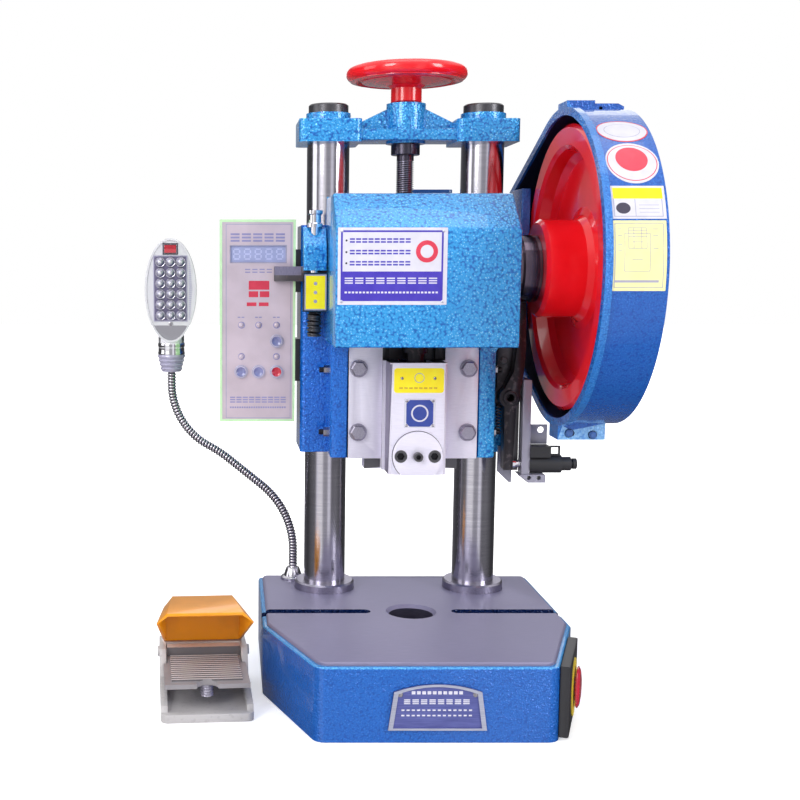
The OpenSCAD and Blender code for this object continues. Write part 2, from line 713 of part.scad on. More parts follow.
// Brake: cap over the spring gear at the left sleeve, arm to the drum, bolt with its spring
module brake_cap() {
    x = [-sleeve_over_w / 2 + 1, -hood_w / 2 - 1];
    y = [sleeve_front - 26, sleeve_front - 8];
    color("dodgerblue") difference() {
        union() {
            translate([x[0], 0, 0]) rotate([90, 0, 90]) linear_extrude(x[1] - x[0])
                polygon([[y[0], crank_z - 2], [y[0], crank_z + 20], [y[0] + 12, crank_z + 37],
                    [y[1], crank_z + 37], [y[1], crank_z - 2]]);
            block(x, [y[1] - 0.01, sleeve_front], [crank_z + 6, crank_z + 30]);
        }
        rod_z([x[0] + 10.5, y[0] + 11, crank_z - 12], 60, 4.1);
    }
}
module brake_arm() {
    x = [-sleeve_over_w / 2 - 25, -head_w / 2 + 5];
    z = [crank_z - 12, crank_z + 1.6];
    color("dimgray") union() {
        block(x, [sleeve_front - 8, sleeve_front - 1.2], z);
        block([x[0] + 23, x[1]], [sleeve_front - 8, sleeve_front], z);
        block([-head_w / 2, x[1]], [32 + gap, sleeve_front - 6], [crank_z - 10, crank_z]);
    }
}
// Brake bolt: slotted head above the cap, spring and lock nuts below the plate
module brake_bolt() {
    x = -sleeve_over_w / 2 + 11.5;
    y = sleeve_front - 15;
    color("silver") {
        rod_z([x, y, crank_z - 62], 108, 4);
        translate([x, y, crank_z + 37]) rotate_extrude()
            polygon([[0, 0], [7, 0], [7, 3], [5.6, 4], [5.6, 11], [7, 12], [7, 15], [0, 15]]);
        translate([x, y, crank_z - 62]) rotate_extrude() difference() {
            square([6, 23]);
            for (z = [3:6:21]) translate([6.2, z]) circle(1.6);
        }
        difference() {
            block([x - 10.5, x + 10.5], [y - 13, y + 5], [crank_z - 39, crank_z - 4]);
            rod_z([x, y, crank_z - 40], 40, 3.9);
        }
    }
}
// Trip gear at the right: the lever turns on a pin across the machine's face
module trip_carrier() {
    color("dimgray") difference() {
        union() {
            block([trip_x - 9, trip_x + 13], [34, sleeve_front], [trip_z, trip_z + 62]);
            rod_y([trip_x, 34, trip_z], sleeve_front - 34, 12);
            rod_y([trip_x, 15, trip_z], 20, 5);
            rod_y([trip_x, 15, trip_z], 2.5, 6.5);
        }
        rod_y([trip_x, 10, trip_z], 24, 3.4);
    }
}
module trip_plate() {
    color("lightgray") translate([0, sleeve_front, 0]) rotate([90, 0, 0]) linear_extrude(4)
        polygon([[85.5, head_z + 6], [98.4, head_z + 6], [98.4, head_z - 28], [96, head_z - 28],
            [85.5, head_z - 18]]);
}
module trip_lever() {
    t = trip_y[1] - trip_y[0];
    tip = crank_z - 30.2;
    color("dimgray") difference() {
        union() {
            rod_y([trip_x, trip_y[0], trip_z], t, 9.6);
            translate([0, trip_y[1], 0]) rotate([90, 0, 0]) linear_extrude(t)
                polygon([[trip_x - 4, solenoid_z - 5], [trip_x + 4, solenoid_z - 5],
                    [trip_x + 6, trip_z - 8], [trip_x + 9, trip_z + 6], [trip_x + 12, trip_z + 22],
                    [trip_x + 13.2, trip_z + 44], [trip_x + 12.5, tip], [trip_x + 4.5, tip],
                    [trip_x + 5, trip_z + 44], [trip_x + 3, trip_z + 24], [trip_x - 5, trip_z + 8]]);
        }
        rod_y([trip_x, trip_y[0] - 1, trip_z], t + 2, 5 + run);
    }
}
// Vertical bar beside the lever, with the foot under the solenoid
module trip_bracket() {
    bar_x = 101.8;
    color("slategray") difference() {
        union() {
            block([bar_x, 109.2], trip_y, [solenoid_z - 12, trip_z + 16]);
            block([trip_x + 13, 109.2], [trip_y[0], sleeve_front], [trip_z - 4, trip_z + 16]);
            translate([0, trip_y[1] + 2, 0]) rotate([90, 0, 0]) linear_extrude(20)
                polygon([[99, solenoid_z - 8.7], [123, solenoid_z - 8.7], [123, solenoid_z - 16], [107, solenoid_z - 16]]);
            block([109, 127], [28, 30], [solenoid_z + 18, solenoid_z + 36]);
        }
        rod_x([100, 25, solenoid_z], 14, 4);
        for (x = [108, 117]) rod_y([x, 0, solenoid_z - 11.5], 50, 2);
        rod_y([121, 20, solenoid_z + 31], 20, 3);
    }
}
module solenoid() {
    color("dimgray") difference() {
        union() {
            rod_x([109.2, 25, solenoid_z], 29.8, 8.5);
            rod_x([139, 25, solenoid_z], 9, 6.5);
            rod_x([148, 25, solenoid_z], 2, 3.5);
            rod_x([150, 25, solenoid_z], 3.5, 5);
            block([109.2, 128], [16, 34], [solenoid_z + 7, solenoid_z + 17]);
            difference() {
                block([128, 138], [22, 24.5], [solenoid_z + 6, solenoid_z + 17]);
                block([129.5, 136.5], [20, 26], [solenoid_z + 9.5, solenoid_z + 15.5]);
            }
        }
        rod_x([108, 25, solenoid_z], 39, 3 + run);
    }
}
module plunger() {
    color("silver") {
        rod_x([trip_x + 5, 25, solenoid_z], 40, 3);
        rod_x([trip_x + 5, 25, solenoid_z], 2.5, 3.6);
    }
}
// Control box on the left sleeve: shell, bracket, front panel with its window and lamps, buttons
module box_bracket() {
    color("dimgray") for (z = [box_z + 36, box_z + 120])
        block([box_right, box_right + 5], [sleeve_front + 20, sleeve_front + 46], [z, z + 40]);
}
module box_shell() {
    color("yellowgreen") difference() {
        rounded([box_right - box_w, box_right], [box_front, box_front + box_d], [box_z, box_z + box_h], 2);
        block([box_right - box_w + 2.5, box_right - 2.5], [box_front - 1, box_front + box_d - 2.5],
            [box_z + 2.5, box_z + box_h - 2.5]);
    }
}
module box_panel() {
    color("plum") difference() {
        union() {
            block([box_right - box_w, box_right], [box_front - 3, box_front], [box_z, box_z + box_h]);
            for (p = [[0, 90.3], [1, 90.3], [2, 90.3], [0, 60.8], [2, 60.8]])
                translate([box_right - button_cols[p[0]], box_front - 3, box_z + p[1]]) sphere(2.4);
        }
        block([box_right - 60, box_right - 9], [box_front - 4, box_front - 1.5], [box_z + 148, box_z + 163]);
        for (p = [[0, 0], [0, 1], [1, 1], [2, 1]])
            rod_y([box_right - button_cols[p[0]], box_front - 5, box_z + button_rows[p[1]]], 6,
                button_d / 2 + 0.2);
    }
}
module button(col, row) {
    translate([box_right - button_cols[col], box_front - 6, box_z + button_rows[row]]) rotate([-90, 0, 0]) {
        cylinder(h = 7, d = button_d);
        translate([0, 0, 6.2]) cylinder(h = 2, d = button_d + 4);
    }
}
module button_start() { color("white") button(0, 0); }
module button_count() { color("white") button(2, 1); }
module button_reset() { color("white") button(1, 1); }
module button_off() { color("red") button(0, 1); }

// Rings [x, z, lean] along the gooseneck, from the end of the given entry onwards
function neck_rings(i, p) = i == len(goose) ? [] :
    let (s = goose[i], n = ceil(abs(s[2]) / neck_step), r = s[1] * sign(s[2]),
        q = [p[0] - s[0] * sin(p[2]), p[1] + s[0] * cos(p[2])],
        bend = [for (k = [0:n]) let (a = p[2] + s[2] * k / max(n, 1))
            [q[0] + r * (cos(a) - cos(p[2])), q[1] + r * (sin(a) - sin(p[2])), a]])
    concat(bend, neck_rings(i + 1, bend[n]));
module gooseneck() {
    rings = concat([[0, 0, 0]], neck_rings(0, [0, 0, 0]));
    n = neck_sides;
    last = len(rings) - 1;
    polyhedron(
        points = [for (c = rings) for (j = [0:n - 1]) let (t = 360 * j / n, r = neck_d / 2)
            [c[0] + r * cos(t) * cos(c[2]), r * sin(t), c[1] + r * cos(t) * sin(c[2])]],
        faces = concat([[for (j = [0:n - 1]) j]], [[for (j = [n - 1:-1:0]) last * n + j]],
            [for (i = [0:last - 1]) for (j = [0:n - 1])
                [i * n + j, (i + 1) * n + j, (i + 1) * n + (j + 1) % n, i * n + (j + 1) % n]]));
}
module lamp_stand() {
    color("gainsboro") translate([lamp_foot[0], lamp_foot[1], table_z]) union() {
        translate([0, 0, -spot_t]) cylinder(h = 3 + spot_t, r = lamp_foot_r);
        cylinder(h = 12, r1 = 9, r2 = 6);
        gooseneck();
    }
}
// Oval lamp head with a plain neck and a ribbed collar below it
module lamp_outline(g = 0) {
    polygon([for (k = [0:lamp_sides - 1]) let (t = 360 * k / lamp_sides)
        [(lamp_w / 2 - g) * cos(t), (lamp_h / 2 - g) * sin(t)]]);
}
module lamp_slab(y, t, g) {
    translate([lamp_at[0], lamp_at[1] + y + t, lamp_at[2]]) rotate([90, 0, 0]) linear_extrude(t) lamp_outline(g);
}
module lamp_head() {
    base = lamp_at[2] - lamp_h / 2;
    front = lamp_at[1] - lamp_t / 2;
    color("silver") difference() {
        union() {
            hull() {
                lamp_slab(-lamp_t / 2, lamp_t - 10, 0);
                lamp_slab(-lamp_t / 2, lamp_t, 9);
            }
            translate([lamp_at[0], lamp_at[1], base - 29.5]) rotate_extrude()
                polygon([[0, 0], [9, 0], [11, 3], [10, 4.5], [12, 7], [11, 8.5], [13, 11], [12, 12.5],
                    [13.6, 15], [13.2, 16.4], [12.9, 17], [12.9, 44], [0, 44]]);
        }
        lamp_slab(-lamp_t / 2 - 1, 4, 2);
        block([lamp_at[0] - switch_half[0], lamp_at[0] + switch_half[0]], [front - 1, front + 7],
            [lamp_at[2] + switch_z - switch_half[1], lamp_at[2] + switch_z + switch_half[1]]);
        // hollow below the lens plate
        intersection() {
            lamp_slab(-lamp_t / 2 - 1, 9, 3.5);
            block([lamp_at[0] - 30, lamp_at[0] + 30], [front - 2, front + 9],
                [base, lamp_at[2] - lens_foot]);
        }
    }
}
// Lens plate: three columns of six domed lenses
module lamp_lens() {
    y = -lamp_t / 2 + 1;
    color("white") difference() {
        union() {
            lamp_slab(y, 2, 2.1);
            for (c = [-1:1], k = [0:5]) translate([lamp_at[0] + c * lens_pitch[0], lamp_at[1] + y,
                lamp_at[2] + lens_top - k * lens_pitch[1]]) sphere(lens_r, $fn = 20);
        }
        block([lamp_at[0] - switch_half[0], lamp_at[0] + switch_half[0]], [lamp_at[1] - 20, lamp_at[1]],
            [lamp_at[2] + switch_z - switch_half[1], lamp_at[2] + switch_z + switch_half[1]]);
        block([lamp_at[0] - 30, lamp_at[0] + 30], [lamp_at[1] - 20, lamp_at[1] + 10],
            [lamp_at[2] - lamp_h, lamp_at[2] - lens_foot]);
        block([lamp_at[0] - 30, lamp_at[0] + 30], [lamp_at[1] + y + 1.9, lamp_at[1] + 10],
            [lamp_at[2] - 60, lamp_at[2] + 60]);
    }
}
module lamp_rocker() {
    color("red") translate([lamp_at[0] - switch_half[0] + gap, lamp_at[1] - lamp_t / 2 + 1, lamp_at[2] + switch_z])
        rotate([90, 0, 90]) linear_extrude(2 * (switch_half[0] - gap))
            polygon([[-3, -3.7], [-1.2, 0], [-2, 3.7], [1.5, 3.7], [4, 2], [4, -2], [1.5, -3.7]]);
}
// Emergency stop on the base's right chamfer, built flat and then turned onto its face
module on_chamfer() {
    translate([stop_at[0], stop_at[1], 0]) rotate([0, 0, stop_angle]) children();
}
module stop_box() {
    color("dimgray") on_chamfer() difference() {
        translate([4, -stop_t, 3]) cube([stop_w, stop_t, stop_h]);
        rod_y([stop_mid[0], -stop_t - 1, stop_mid[1]], 6, 8 + run);
    }
}
module stop_plate() {
    color("gold") on_chamfer() difference() {
        rod_y([stop_mid[0], -stop_t - 1, stop_mid[1]], 1, mushroom_d / 2 + 7);
        rod_y([stop_mid[0], -stop_t - 2, stop_mid[1]], 3, 8 + run);
    }
}
module stop_button() {
    r = mushroom_d / 2;
    color("red") on_chamfer() translate([stop_mid[0], -stop_t, stop_mid[1]]) rotate([90, 0, 0]) rotate_extrude()
        polygon([[0, -1.5], [8, -1.5], [8, 2.4], [r - 1, 2.4], [r, 3], [r, 4], [r - 3, 5.5], [8, 6.3], [0, 6.5]]);
}
// Foot switch, with its front edge at y = 0 in its own frame
module at_pedal() { translate([-pedal_x, -pedal_front, 0]) rotate([0, 0, pedal_turn]) children(); }
module pedal_body() {
    half = pedal_w / 2;
    color("gainsboro") at_pedal() {
        rounded([-half, half], [0, pedal_d], [0, 7], 6);
        difference() {
            both_sides() translate([half - 5.5, 0, 0]) rotate([90, 0, 90]) linear_extrude(5.5)
                polygon([[6, 6], [8, 12], [58, 20], [66, pedal_deck - 4], [70, pedal_deck],
                    [pedal_d, pedal_deck], [pedal_d, 6]]);
            rod_x([-half - 1, pedal_pin[0], pedal_pin[1]], pedal_w + 2, 3);
        }
        block([-half + 5, half - 5], [pedal_d - 20, pedal_d], [6, pedal_deck]);
        rod_x([-half - 2, pedal_pin[0], pedal_pin[1]], pedal_w + 4, 3);
        both_sides() rod_x([half, pedal_pin[0], pedal_pin[1]], 2, 4.5);
    }
}
module pedal_hood() {
    half = pedal_w / 2 - 4;
    rear = pedal_d - 14;
    back_h = pedal_h - pedal_deck;
    color("orange") at_pedal() difference() {
        hull() {
            translate([0, rear, pedal_deck]) rotate([90, 0, 0]) linear_extrude(2)
                polygon([[-half, 0], [half, 0], [half, back_h - 10], [half - 8, back_h],
                    [8 - half, back_h], [-half, back_h - 10]]);
            translate([0, 42, pedal_h - 9]) rotate([90, 0, 0]) linear_extrude(2)
                polygon([[-half - 7, 0], [half + 7, 0], [half - 2, 9], [2 - half, 9]]);
        }
        hull() {
            translate([0, rear - 4, pedal_deck - 6]) rotate([90, 0, 0]) linear_extrude(2)
                polygon([[2 - half, 0], [half - 2, 0], [half - 2, back_h - 5], [half - 9, back_h + 3.5],
                    [9 - half, back_h + 3.5], [2 - half, back_h - 5]]);
            translate([0, 39.9, pedal_h - 16]) rotate([90, 0, 0]) linear_extrude(2)
                polygon([[-half - 5, 0], [half + 5, 0], [half + 5, 8], [half - 3, 13.5], [3 - half, 13.5],
                    [-half - 5, 8]]);
        }
    }
}
module pedal_treadle() {
    half = pedal_w / 2;
    color("lightgray") at_pedal() difference() {
        union() {
            block([-half + 3, half - 3], [2, 56], [28.5, 32.5]);
            block([-half + 6.5, half - 6.5], [55, pedal_pin[0] + 4], [28.5, 32.5]);
            for (y = [10:5:70]) block([-half + 9, half - 9], [y, y + 2.4], [32, 34]);
            block([-half + 6.5, half - 6.5], [pedal_pin[0] - 5, pedal_pin[0] + 5],
                [28.5, pedal_pin[1] + 4.5]);
        }
        rod_x([-half, pedal_pin[0], pedal_pin[1]], pedal_w, 3 + run);
        rod_z([0, 2, 20], 20, 9);
    }
}
// Return spring round its screw, under the treadle's front notch
module pedal_spring() {
    color("dimgray") at_pedal() translate([0, 17, 18]) {
        rod_z([0, 0, -0.5], 10.5, 2.5);
        rotate_extrude() difference() {
            translate([2.4, 0]) square([3.6, 10]);
            for (z = [1:2.25:10]) translate([6.6, z]) circle(1.1);
        }
    }
}

base_casting();
nameplate();
column_left();
column_right();
column_collars();
bridge();
column_caps();
handwheel();
lead_screw();
lift_nut();
head_casting();
hood();
gib_left();
gib_right();
gib_screws();
side_screws();
crank_bushes();
crankshaft();
clutch_sleeve();
conrod();
ball_screw();
ram();
die_clamp();
die_screws();
flywheel();
flywheel_nut();
drive_belt();
guard();
guard_bracket();
motor();
fan_cowl();
motor_bracket();
motor_pulley();
brake_cap();
brake_arm();
brake_bolt();
trip_carrier();
trip_plate();
trip_lever();
trip_bracket();
solenoid();
plunger();
box_bracket();
box_shell();
box_panel();
button_start();
button_count();
button_reset();
button_off();
lamp_stand();
lamp_head();
lamp_lens();
lamp_rocker();
stop_box();
stop_plate();
stop_button();
pedal_body();
pedal_hood();
pedal_treadle();
pedal_spring();
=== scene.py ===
# %% [markdown]
# # A desktop punching machine
# A small crank press stands on a hollow iron base. Two ground columns carry a bridge, and a screw under
# the red handwheel lifts the head. The head holds the crank, the ram, the motor and the belt guard.
# The solids come ready from the CAD model, so this lesson gives them their finishes, softens their
# edges, and adds the threads, ribs, plates and screws that a solid leaves out.

# %% Load the machine
import json
import math
import bpy
import bmesh
from mathutils import Matrix, Vector
from mathutils.kdtree import KDTree


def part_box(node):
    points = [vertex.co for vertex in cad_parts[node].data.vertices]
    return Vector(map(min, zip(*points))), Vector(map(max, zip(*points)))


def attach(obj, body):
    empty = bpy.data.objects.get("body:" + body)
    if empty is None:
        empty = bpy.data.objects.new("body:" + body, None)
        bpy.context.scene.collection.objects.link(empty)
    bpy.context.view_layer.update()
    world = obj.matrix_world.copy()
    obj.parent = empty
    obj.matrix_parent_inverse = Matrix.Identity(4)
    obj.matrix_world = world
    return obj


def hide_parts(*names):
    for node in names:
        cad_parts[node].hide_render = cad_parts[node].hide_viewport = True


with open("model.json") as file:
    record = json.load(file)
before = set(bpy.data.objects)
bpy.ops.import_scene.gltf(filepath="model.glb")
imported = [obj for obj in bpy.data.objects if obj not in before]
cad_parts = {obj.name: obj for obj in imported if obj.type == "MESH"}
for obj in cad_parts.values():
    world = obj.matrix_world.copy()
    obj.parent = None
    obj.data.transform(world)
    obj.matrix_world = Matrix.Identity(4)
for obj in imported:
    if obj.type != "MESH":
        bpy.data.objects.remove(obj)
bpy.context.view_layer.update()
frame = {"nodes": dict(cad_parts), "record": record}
node = frame["nodes"]


# %% [markdown]
# ## Camera
# The machine is seen from a little left of its middle and from just above the crank, with the lens
# tipped down by less than seven degrees. A sideways shift centres it without turning the view.

# %% Camera
MM = 0.001
CRANK_Z = 376.6


def placed(name, data):
    """A new object in the scene."""
    made = bpy.data.objects.new(name, data)
    bpy.context.scene.collection.objects.link(made)
    return made


camera_data = bpy.data.cameras.new("camera")
camera_data.sensor_width = 36
camera_data.lens = 53.72
camera_data.shift_x = 0.214
camera = placed("camera", camera_data)
camera.location = (-0.1666, -1.0619, 0.3843)
camera.rotation_euler = (math.radians(90 - 6.70), 0, 0)
bpy.context.scene.camera = camera
bpy.context.scene.view_settings.view_transform = "Standard"

# %% [markdown]
# ## Floor and light
# A product shot needs an even white surround and large soft lamps. Rays that meet the world directly
# or in a gloss see a white room with two darker screens, which draw the bright and dark bands
# that make a ground column read as steel.

# %% Floor
FLOOR_R = 6.0
floor_mesh = bpy.data.meshes.new("floor")
floor_mesh.from_pydata(
    [(FLOOR_R * x, FLOOR_R * y, -0.0004) for x, y in ((-1, -1), (1, -1), (1, 1), (-1, 1))], [], [(0, 1, 2, 3)]
)
floor = placed("floor", floor_mesh)


def new_tree(name):
    """A material and its node tree, with the output and the main shader in place."""
    material = bpy.data.materials.new(name)
    material.use_nodes = True
    return material, material.node_tree, material.node_tree.nodes["Principled BSDF"]


def feed(tree, made, inputs):
    """Give a node its inputs: a socket is linked, anything else is set as a value."""
    for name, value in inputs.items():
        if isinstance(value, bpy.types.NodeSocket):
            tree.links.new(value, made.inputs[name])
        else:
            made.inputs[name].default_value = value


def node_of(tree, kind, inputs=None, **properties):
    """A new node with its inputs and properties."""
    made = tree.nodes.new(kind)
    for name, value in properties.items():
        setattr(made, name, value)
    feed(tree, made, inputs or {})
    return made


def maths(tree, operation, *numbers):
    """The outcome of one sum; each number is a value or a socket."""
    return node_of(tree, "ShaderNodeMath", dict(enumerate(numbers)), operation=operation).outputs[0]


def coordinates(tree, kind="Object"):
    """A socket with the place of each point."""
    return node_of(tree, "ShaderNodeTexCoord").outputs[kind]


def seen_directly(tree):
    """1 for camera, gloss and glass rays, which show the white surround."""
    path = node_of(tree, "ShaderNodeLightPath").outputs
    either = maths(tree, "MAXIMUM", path["Is Camera Ray"], path["Is Glossy Ray"])
    return maths(tree, "MAXIMUM", either, path["Is Transmission Ray"])


def color_ramp(tree, factor, stops):
    """A ramp read by a factor: each stop is (place, red, green, blue, 1)."""
    made = node_of(tree, "ShaderNodeValToRGB", {0: factor})
    points = made.color_ramp.elements
    while len(points) < len(stops):
        points.new(0.5)
    for point, (place, *colour) in zip(points, stops):
        point.position = place
        point.color = colour
    return made.outputs[0]


floor_paint, tree, shader = new_tree("floor_paper")
distance = node_of(tree, "ShaderNodeVectorMath", {0: coordinates(tree)}, operation="LENGTH")
faded = node_of(tree, "ShaderNodeMapRange", {
    "Value": distance.outputs["Value"], "From Min": 0.3, "From Max": 1.1, "To Min": 0.42, "To Max": 1.05,
}, interpolation_type="SMOOTHSTEP")
feed(tree, shader, {
    "Base Color": (0.96, 0.96, 0.97, 1), "Roughness": 0.9, "Emission Color": (1, 1, 1, 1),
    "Emission Strength": maths(tree, "MULTIPLY", seen_directly(tree), faded.outputs[0]),
})
floor_mesh.materials.append(floor_paint)
floor.visible_glossy = False

# %% World and lamps
WORLD_LIGHT = 0.52
# Level of the room round the machine: azimuth in degrees from the front, to the right
ROOM = [(-180, 0.30), (-150, 0.10), (-112, 0.05), (-84, 0.13), (-60, 0.18), (-49, 0.95), (-40, 1.0), (-21, 1.0),
        (-13, 0.42), (7, 0.40), (13, 0.9), (23, 0.9), (31, 0.17), (62, 0.17), (82, 0.12), (110, 0.04), (150, 0.08),
        (180, 0.30)]
world = bpy.data.worlds.new("studio")
world.use_nodes = True
bpy.context.scene.world = world
tree = world.node_tree
x, y, z = node_of(tree, "ShaderNodeSeparateXYZ", {0: coordinates(tree, "Generated")}).outputs
turn = maths(tree, "ARCTAN2", x, maths(tree, "MULTIPLY", y, -1))
screens = color_ramp(tree, maths(tree, "MULTIPLY_ADD", turn, 0.5 / math.pi, 0.5), [
    (azimuth / 360 + 0.5, level, level, min(1, level * 1.06), 1) for azimuth, level in ROOM
])
low = node_of(tree, "ShaderNodeMapRange", {"Value": z, "From Min": 0.34, "From Max": 0.62, "To Min": 1, "To Max": 0})
glossy = node_of(tree, "ShaderNodeLightPath").outputs["Is Glossy Ray"]
surround = node_of(tree, "ShaderNodeMix", data_type="RGBA")
feed(tree, surround, {0: maths(tree, "MULTIPLY", low.outputs[0], glossy), 6: (1, 1, 1, 1), 7: screens})
feed(tree, tree.nodes["Background"], {
    "Color": surround.outputs[2],
    "Strength": maths(tree, "MULTIPLY_ADD", seen_directly(tree), 1 - WORLD_LIGHT, WORLD_LIGHT),
})


def lamp(name, place, target, size, power):
    """A square soft box at place, facing target."""
    data = bpy.data.lights.new(name, "AREA")
    data.shape = "RECTANGLE"
    data.size, data.size_y = size
    data.energy = power
    made = placed(name, data)
    made.location = place
    made.rotation_euler = (Vector(target) - Vector(place)).to_track_quat("-Z", "Y").to_euler()


MIDDLE = (0, 0, 0.3)
lamp("key_left", (-1.3, -1.5, 1.3), MIDDLE, (0.7, 1.2), 22)
lamp("fill_right", (1.6, -1.2, 0.9), MIDDLE, (0.6, 1.4), 24)
lamp("side_left", (-1.8, -0.2, 0.8), MIDDLE, (0.8, 1.2), 6)
lamp("top", (0, -0.2, 2.0), MIDDLE, (1.4, 1.0), 7)
lamp("back", (0.3, 1.8, 1.2), MIDDLE, (1.4, 1.0), 6)
print("lamps", len(bpy.data.lights))

# %% [markdown]
# ## Finishes
# Every finish is a small node tree that reads Object coordinates. All pieces sit at the origin, so
# these coordinates are places on the machine in metres, and a scale of 400 makes cells of 2.5 mm.
# A finish starts from one base colour and one roughness, then gets speckle, wear and a bump.
# Colours are linear red, green and blue; the depth of a bump is in metres.

# %% Finish helpers
def finish(name, colour, roughness, metallic=0.0, coat=0.0):
    """A material with plain values on its shader's own sockets."""
    material, tree, shader = new_tree(name)
    feed(tree, shader, {
        "Base Color": (*colour, 1), "Roughness": roughness, "Metallic": metallic, "Coat Weight": coat,
    })
    return material


def shader_from(material, **sockets):
    """Feed the main shader; an underscore stands for the blank in an input's name."""
    tree = material.node_tree
    feed(tree, tree.nodes["Principled BSDF"], {name.replace("_", " "): made for name, made in sockets.items()})


def grain(material, scale, stretch=(1, 1, 1), detail=2.0):
    """Noise on the piece's own coordinates, drawn out along an axis by stretch."""
    tree = material.node_tree
    place = node_of(tree, "ShaderNodeMapping", {"Scale": stretch, "Vector": coordinates(tree)}).outputs[0]
    return node_of(tree, "ShaderNodeTexNoise", {"Scale": scale, "Detail": detail, "Vector": place}).outputs[0]


def cells(material, scale, smoothness):
    """Distance to the nearest of many scattered points: the pools of a hammer finish."""
    tree = material.node_tree
    inputs = {"Scale": scale, "Smoothness": smoothness, "Vector": coordinates(tree)}
    return node_of(tree, "ShaderNodeTexVoronoi", inputs, feature="SMOOTH_F1").outputs["Distance"]


def ramp(material, factor, *stops):
    """A colour from a factor: each stop is (place, colour or grey level)."""
    return color_ramp(material.node_tree, factor, [
        (place, *(colour if isinstance(colour, tuple) else 3 * (colour,)), 1) for place, colour in stops
    ])


def mixed(material, factor, under, over):
    """Two colours mixed by a factor; each is a socket or three numbers."""
    tree = material.node_tree
    made = node_of(tree, "ShaderNodeMix", data_type="RGBA")
    colours = [(*value, 1) if isinstance(value, tuple) else value for value in (under, over)]
    feed(tree, made, {0: factor, 6: colours[0], 7: colours[1]})
    return made.outputs[2]


def colour_from(material, socket):
    """Feed the base colour."""
    shader_from(material, Base_Color=socket)


def roughness_from(material, factor, low, high):
    """Feed the roughness, spread between low and high."""
    inputs = {"Value": factor, "To Min": low, "To Max": high}
    shader_from(material, Roughness=node_of(material.node_tree, "ShaderNodeMapRange", inputs).outputs[0])


def raised_by(material, *heights):
    """Bump: each height is (socket, strength, distance in metres), one on top of another."""
    below = {}
    for height, strength, distance in heights:
        inputs = {"Height": height, "Strength": strength, "Distance": distance, **below}
        below = {"Normal": node_of(material.node_tree, "ShaderNodeBump", inputs).outputs[0]}
    shader_from(material, **below)


def worn_edge(material):
    """A mask of the sharp outer edges, from the mesh's own pointiness."""
    edge = node_of(material.node_tree, "ShaderNodeNewGeometry").outputs["Pointiness"]
    return ramp(material, edge, (0.55, 0.0), (0.62, 1.0))


# %% [markdown]
# ### Hammer paint
# The castings wear blue hammer paint: silicone in the paint pulls it into small pools while the metal
# flake settles between them. Smooth Voronoi distance gives the pools, and the same cells drive the
# colour, so that every pool has a pale shoulder and a deep blue floor.

# %% Paints
def hammer_paint(name, deep, middle, pale, cell=420, depth=0.0009):
    """Hammer finish in three tones; a larger cell number makes smaller pools."""
    paint = finish(name, middle, 0.27, metallic=0.25, coat=0.7)
    pools = cells(paint, cell, 0.3)
    drift = grain(paint, 14, detail=3)
    shade = ramp(paint, pools, (0.08, pale), (0.26, middle), (0.56, middle), (0.78, deep))
    colour_from(paint, mixed(paint, ramp(paint, drift, (0.35, 0.0), (0.75, 0.18)), shade, deep))
    raised_by(paint, (grain(paint, cell * 0.62, detail=1), 0.75, depth), (pools, 0.6, depth))
    return paint


HAMMER_BLUE = hammer_paint("hammer_blue", (0.006, 0.13, 0.48), (0.028, 0.35, 0.78), (0.34, 0.76, 1.0), cell=460)
# Painted light: the head casting gets this darker copy of the hammer paint. Its right-hand and upward faces get the
# paler hammer_blue further down, so the two are shaded and lit copies of one paint.
HEAD_BLUE = hammer_paint("hammer_blue_head", (0.003, 0.09, 0.46), (0.008, 0.16, 0.68), (0.06, 0.36, 0.88), cell=560)
BASE_BLUE = hammer_paint("hammer_blue_base", (0.004, 0.09, 0.42), (0.008, 0.13, 0.54), (0.04, 0.24, 0.70), cell=700)
GUARD_BLUE = hammer_paint(
    "guard_blue", (0.004, 0.07, 0.38), (0.006, 0.11, 0.48), (0.03, 0.20, 0.66), cell=640, depth=0.0006
)
# Painted highlights: paler copies of the paint for rounded edges that catch the light, the base's lip and the guard's
# rim.
LIP_HIGHLIGHT_BLUE = hammer_paint("lip_blue_painted_highlight", (0.02, 0.20, 0.60), (0.05, 0.34, 0.76), (0.20, 0.55, 0.92), cell=700)
GUARD_LIP_HIGHLIGHT = hammer_paint("guard_lip_painted_highlight", (0.01, 0.12, 0.48), (0.02, 0.20, 0.62), (0.10, 0.36, 0.80), cell=700)
LUG_BLUE = hammer_paint("lug_blue", (0.10, 0.30, 0.70), (0.22, 0.48, 0.85), (0.50, 0.75, 0.95), cell=420)
# Partly painted shade: the slots' blue paint made near-black for the shade down in them.
SLOT_SHADE_BLUE = hammer_paint("slot_blue_painted_shade", (0.001, 0.006, 0.04), (0.002, 0.015, 0.09), (0.10, 0.16, 0.34), cell=620)
# Painted shade: a near-black for the guard's inside faces, standing for the shade within the guard rather than its
# paint.
GUARD_INSIDE_SHADE = finish("guard_inside_painted_shade", (0.006, 0.010, 0.045), 0.5)


def gloss_paint(name, colour, shade, roughness, coat=1.0):
    """Sprayed gloss: nearly one colour, with orange peel in the reflections."""
    paint = finish(name, colour, roughness, coat=coat)
    colour_from(paint, ramp(paint, grain(paint, 22, detail=4), (0.3, shade), (0.7, colour)))
    raised_by(paint, (grain(paint, 260, detail=1), 0.06, 0.0006))
    return paint


WHEEL_RED = gloss_paint("wheel_red", (0.90, 0.010, 0.020), (0.80, 0.006, 0.012), roughness=0.2, coat=0.6)
MOTOR_BLUE = gloss_paint("motor_blue", (0.025, 0.13, 0.42), (0.015, 0.09, 0.33), roughness=0.36)
BOX_GREEN = gloss_paint("box_green", (0.36, 0.66, 0.30), (0.30, 0.58, 0.26), roughness=0.4)
ZINC_GREY = gloss_paint("zinc_plate", (0.30, 0.29, 0.37), (0.22, 0.21, 0.28), roughness=0.38)

